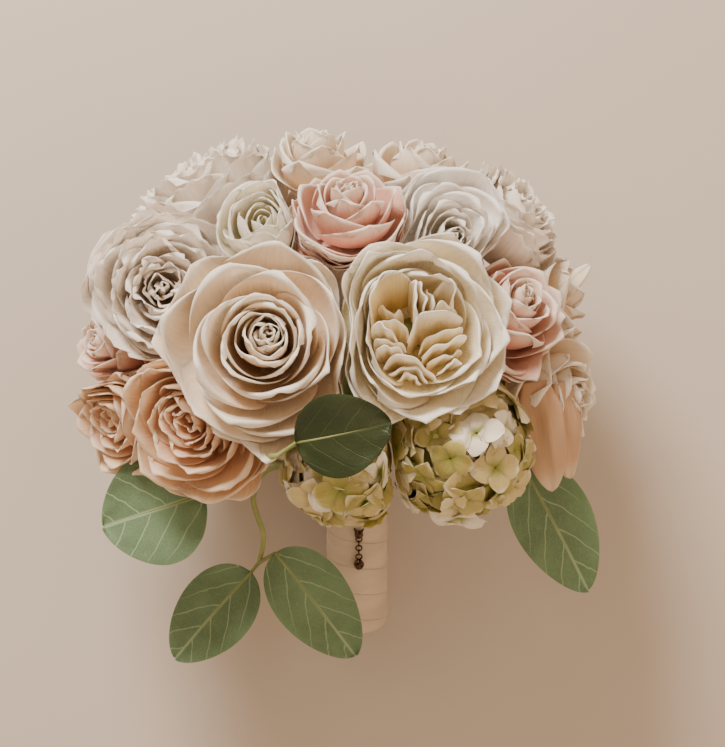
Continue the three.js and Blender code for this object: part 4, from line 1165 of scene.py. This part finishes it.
def petal_material(name, heart, body, rim, outer, outside, tint=0.25, rim_from=0.76, heart_to=0.75):
    """Petals: a darker, warmer tone in the heart and toward the foot, partly their own colour and partly
    painted warm shade in the hollows, pale at the rim, another tone on the outside, and fine veins that run
    from foot to tip."""
    g = Graph(name)
    t, s, f = g.attribute("petal")
    chance, outward, _ = g.attribute("grain")
    # The heart's tone, on the inner petals and toward each petal's foot, is partly the flower's own colour
    # and partly painted warm shade in the hollows between petals
    foot = g.mix(g.remap(f, 0.0, heart_to), heart, body)
    foot_tone_and_shade = g.mix(g.remap(t, 0.15, 0.85), foot, g.mix(g.remap(f, 0.2, 1.0), body, outer))
    face = g.mix(g.remap(t, rim_from, 0.99), foot_tone_and_shade, rim)
    back = g.mix(g.remap(t, 0.55, 1.0), outside, rim)
    tone = g.mix(g.times(outward, 0.8), face, back)
    veins = g.streaks((s, t, chance), (30, 2.2, 40))
    clouds = g.clouds(55.0, 3.0, 0.55)
    shade = g.plus(g.remap(veins, 0.25, 0.75, 0.86, 1.04), g.remap(clouds, 0.3, 0.7, -0.05, 0.04))
    return g.finish({
        "Base Color": g.mix(g.times(chance, tint), g.mix(1.0, tone, shade, "MULTIPLY"), rim),
        "Roughness": g.remap(clouds, 0.2, 0.8, 0.48, 0.62),
        **soft(0.4, 0.003, 0.0026, 0.0023),
        "Specular IOR Level": 0.3,
        "Sheen Weight": 0.12,
        "Sheen Roughness": 0.5,
        "Normal": g.bump(g.plus(veins, g.times(clouds, 0.5)), 0.6, 0.0004),
    })


def floret_material():
    """Hydrangea: each floret has its own tone between green and cream, a darker eye and fine veins."""
    g = Graph("hydrangea florets")
    t, s, shade = g.attribute("petal")
    chance, _, _ = g.attribute("grain")
    tone = g.mix(g.remap(shade, 0.1, 0.75), "A89E5A", "D4C28C")
    tone = g.mix(g.remap(shade, 0.78, 0.95), tone, "F1E9D0")
    tone = g.mix(g.remap(t, 0.0, 0.45), "8E9440", tone)
    tone = g.mix(g.remap(t, 0.75, 1.0, 0.0, 0.6), tone, "EFE9CC")
    veins = g.streaks((s, t, chance), (9, 2, 50))
    clouds = g.clouds(90.0)
    value = g.plus(g.remap(veins, 0.25, 0.75, 0.88, 1.05), g.remap(clouds, 0.3, 0.7, -0.08, 0.05))
    return g.finish({
        "Base Color": g.mix(1.0, tone, value, "MULTIPLY"),
        "Roughness": g.remap(clouds, 0.2, 0.8, 0.5, 0.65),
        **soft(0.3, 0.003, 0.003, 0.0012),
        "Specular IOR Level": 0.3,
        "Normal": g.bump(veins, 0.5, 0.0004),
    })


def green_material(name, low, high):
    """Stems and sepals: ribbed along their length, lighter and browner in patches."""
    g = Graph(name)
    t, around, _ = g.attribute("petal")
    chance, _, _ = g.attribute("grain")
    ribs = g.streaks((around, t, chance), (24, 6, 30))
    patches = g.clouds(70.0, 4.0)
    tone = g.mix(g.remap(patches, 0.3, 0.7), low, high)
    return g.finish({
        "Base Color": g.mix(g.remap(ribs, 0.45, 0.8, 0.0, 0.5), tone, "A3A66E"),
        "Roughness": g.remap(patches, 0.2, 0.8, 0.45, 0.65),
        **soft(0.1, 0.001, 0.0015, 0.0006),
        "Normal": g.bump(ribs, 0.5, 0.0003),
    })


def leaf_material(name, low, high, vein, rough, coat, vein_strength):
    """A leaf with a pale midrib, side veins that arch toward the tip and a net of finer veins between."""
    g = Graph(name)
    t, s, width = g.attribute("petal")
    chance, _, _ = g.attribute("grain")
    across = g.times(s, width)
    off = g.math("ABSOLUTE", across)
    # The side veins stand in turn on the left and on the right, and wander a little
    side = g.times(g.math("GREATER_THAN", s, 0.0), 0.45)
    wander = g.math("SUBTRACT", g.streaks((s, t, chance), (2.4, 6, 40), 2.0, 0.5), 0.5)
    run = g.times(g.math("SUBTRACT", t, g.times(g.math("POWER", off, 1.25), 0.56)), SIDE_VEINS)
    run = g.plus(run, g.plus(side, g.times(wander, 0.3)))
    line = g.math("ABSOLUTE", g.math("SUBTRACT", g.math("FRACT", run), 0.5))
    side_veins = g.times(g.remap(line, 0.0, 0.06, 1.0, 0.0), g.remap(off, 0.5, 0.95, 1.0, 0.0))
    veins = g.math("MAXIMUM", side_veins, g.remap(off, 0.012, 0.05, 1.0, 0.0))
    cells = {"Vector": g.vector(g.times(across, 9.0), g.times(t, 16.0), chance), "Scale": 1.6}
    fine = g.add("ShaderNodeTexVoronoi", cells, feature="DISTANCE_TO_EDGE").outputs["Distance"]
    net = g.remap(fine, 0.0, 0.07, 0.35, 0.0)
    patches = g.clouds(38.0, 4.0)
    tone = g.mix(g.remap(patches, 0.3, 0.7), low, high)
    tone = g.mix(g.times(net, 0.35), tone, vein)
    return g.finish({
        "Base Color": g.mix(g.times(veins, vein_strength), tone, vein),
        "Roughness": g.remap(patches, 0.2, 0.8, rough, rough + 0.15),
        **soft(0.12, 0.0012, 0.002, 0.0006),
        "Coat Weight": coat,
        "Coat Roughness": 0.25,
        "Normal": g.bump(g.plus(veins, g.plus(g.times(net, 0.4), g.times(patches, 0.4))), 0.5, -0.0004),
    })


def ribbon_material():
    """Satin: fine threads round the handle, a soft shine, faint clouds and a shade under each turn's edge."""
    g = Graph("satin ribbon")
    t, around, _ = g.attribute("petal")
    turn, _, _ = g.attribute("grain")
    waves = {"Vector": g.vector(t, 0.0, 0.0), "Scale": 180.0, "Distortion": 0.4, "Detail": 2.0}
    threads = g.add("ShaderNodeTexWave", waves).outputs["Fac"]
    folds = g.streaks((t, around), (30, 6), 3.0, 0.5)
    tone = g.mix(g.remap(g.streaks((t, around), (9, 3), 3.0, 0.5), 0.25, 0.75), "BEAA92", "CEBAA2")
    tone = g.mix(g.times(threads, 0.12), tone, "EBD9C6")
    return g.finish({
        "Base Color": g.mix(g.remap(turn, 0.90, 0.97, 0.0, 0.5), tone, "84705C"),
        "Roughness": g.remap(folds, 0.2, 0.8, 0.3, 0.38),
        "Anisotropic": 0.5,
        "Sheen Weight": 0.3,
        "Sheen Roughness": 0.35,
        "Specular IOR Level": 0.6,
        "Normal": g.bump(g.plus(g.times(threads, 0.15), folds), 0.35, 0.0005),
    })


def pearl_material():
    g = Graph("pearl")
    swirl = g.clouds(900.0, 2.0, 0.5)
    return g.finish({
        "Base Color": g.mix(g.remap(swirl, 0.3, 0.7), "E2CFB4", "F3E9DA"),
        "Roughness": g.remap(swirl, 0.2, 0.8, 0.16, 0.26),
        **soft(0.2, 0.001, 0.0008, 0.0006),
        "Coat Weight": 0.8,
        "Coat Roughness": 0.08,
    })


def bronze_material():
    """Dark bronze, brown where it is tarnished and brighter where it is rubbed."""
    g = Graph("dark bronze")
    wear = g.clouds(700.0, 4.0, 0.65)
    return g.finish({
        "Base Color": g.mix(g.remap(wear, 0.35, 0.75), "2E2320", "7A6248"),
        "Metallic": 1.0,
        "Roughness": g.remap(wear, 0.2, 0.8, 0.5, 0.28),
        "Normal": g.bump(wear, 0.25, 0.0001),
    })


def floor_material():
    g = Graph("pale floor")
    return g.finish({
        "Base Color": g.mix(g.clouds(3.0, 3.0, 0.5), "BFB3A5", "C5BAAC"),
        "Roughness": 0.75,
        "Specular IOR Level": 0.2,
    })


# The tones of petals: the heart's, partly their own colour and partly painted warm shade in the hollows, the
# body, the rim, the body of the outer petals and the outside. Then, where it isn't the usual: how far some
# petals go toward the rim's tone, where the rim starts along a petal and how far out the heart's tone goes
PALETTES = {
    "cream": ("C98656", "ECCFA8", "F8EEDC", "F0D9BA", "DFB692"),
    "ivory": ("EAB444", "F6DE98", "FEF9EC", "FAEED2", "F4E2B4", 0.2, 0.8),
    "white": ("F0CCA4", "FAEAD6", "FDF3E6", "FBF0E2", "F8E6D2", 0.25, 0.7),
    "white garden": ("E8BE4C", "FCF6E8", "FEFAF4", "FDF7EE", "FBF3E6", 0.25, 0.84, 0.6),
    "blush": ("CF8A5C", "E5AF97", "F4DFCD", "DFA38D", "C47664"),
    "peach": ("C8684A", "E6A984", "F4D6B6", "E9BA90", "D99A6C"),
    "tan": ("A26C44", "BE9270", "DEC4A4", "C29874", "B28864"),
    "lemon": ("C8BC3C", "F8EEC6", "FEFAEC", "FDF5DE", "FBF0D6", 0.25, 0.76, 0.4),
}
MATERIALS = {key: petal_material(key + " petals", *tones) for key, tones in PALETTES.items()}
MATERIALS.update({
    "hydrangea": floret_material(),
    "green": green_material("green stems", "5D6B38", "7F8448"),
    "twig": green_material("green twigs", "747F42", "93985A"),
    "salal_leaf": leaf_material("salal leaf", "1A2A06", "28380A", "505E26", 0.4, 0.12, 0.24),
    "eucalyptus_leaf": leaf_material("eucalyptus leaf", "556C4C", "688360", "A4B892", 0.68, 0.0, 0.6),
    "ribbon": ribbon_material(),
    "pearl": pearl_material(),
    "bronze": bronze_material(),
})

# The bouquet
for k, bloom in enumerate(blooms):
    make = hydrangea_head if bloom.kind == "hydrangea" else petal_flower
    make(bloom, np.random.default_rng(100 + k))
for k, (name, flowers) in enumerate(STEMS):
    stem(name, flowers, slots[k], np.random.default_rng(300 + k))
for k, row in enumerate(SPRAYS):
    spray(*row, slots[len(STEMS) + k], np.random.default_rng(500 + k))
ribbon_wrap()
pearl_pin()
charm()


# Floor, camera and light
def floor():
    mesh = bpy.data.meshes.new("floor")
    corners = [(x, y, FLOOR_LEVEL) for x, y in ((-3, -3), (3, -3), (3, 3), (-3, 3))]
    mesh.from_pydata(corners, [], [(0, 1, 2, 3)])
    mesh.materials.append(floor_material())
    add_object("floor", mesh)


def camera():
    """The camera looks straight along the front view's z."""
    data = bpy.data.cameras.new("camera")
    data.sensor_fit = "HORIZONTAL"
    data.sensor_width = 36
    data.lens = data.sensor_width * VIEW_DISTANCE / (PIXEL * PICTURE_WIDTH)
    piece = add_object("camera", data)
    piece.location = place_in_frame(np.array([*VIEW_CENTRE, VIEW_DISTANCE]))
    piece.rotation_euler = (REST_TURN, 0, 0)
    bpy.context.scene.camera = piece


def area_light(name, location, target, size, power, colour):
    """A round lamp that looks at its target."""
    data = bpy.data.lights.new(name, "AREA")
    data.shape = "DISK"
    data.size = size
    data.energy = power
    data.color = colour_of(colour)[:3]
    piece = add_object(name, data)
    piece.location = location
    x, y, z = np.array(target) - np.array(location)
    piece.rotation_euler = (math.atan2(math.hypot(x, y), -z), 0, math.atan2(y, x) - math.pi / 2)


def world():
    made = bpy.data.worlds.new("soft studio")
    made.use_nodes = True
    sky = made.node_tree.nodes["Background"]
    sky.inputs[0].default_value = colour_of("FFE0C2")
    sky.inputs[1].default_value = 0.78
    bpy.context.scene.world = made


floor()
camera()
area_light("key", (-0.45, 1.05, 0.95), (0, 0, 0.1), 0.6, 38, "FFF6EE")
area_light("fill", (0.7, -0.5, 1.0), (0, 0, 0.1), 0.9, 4, "FFD6AE")
world()
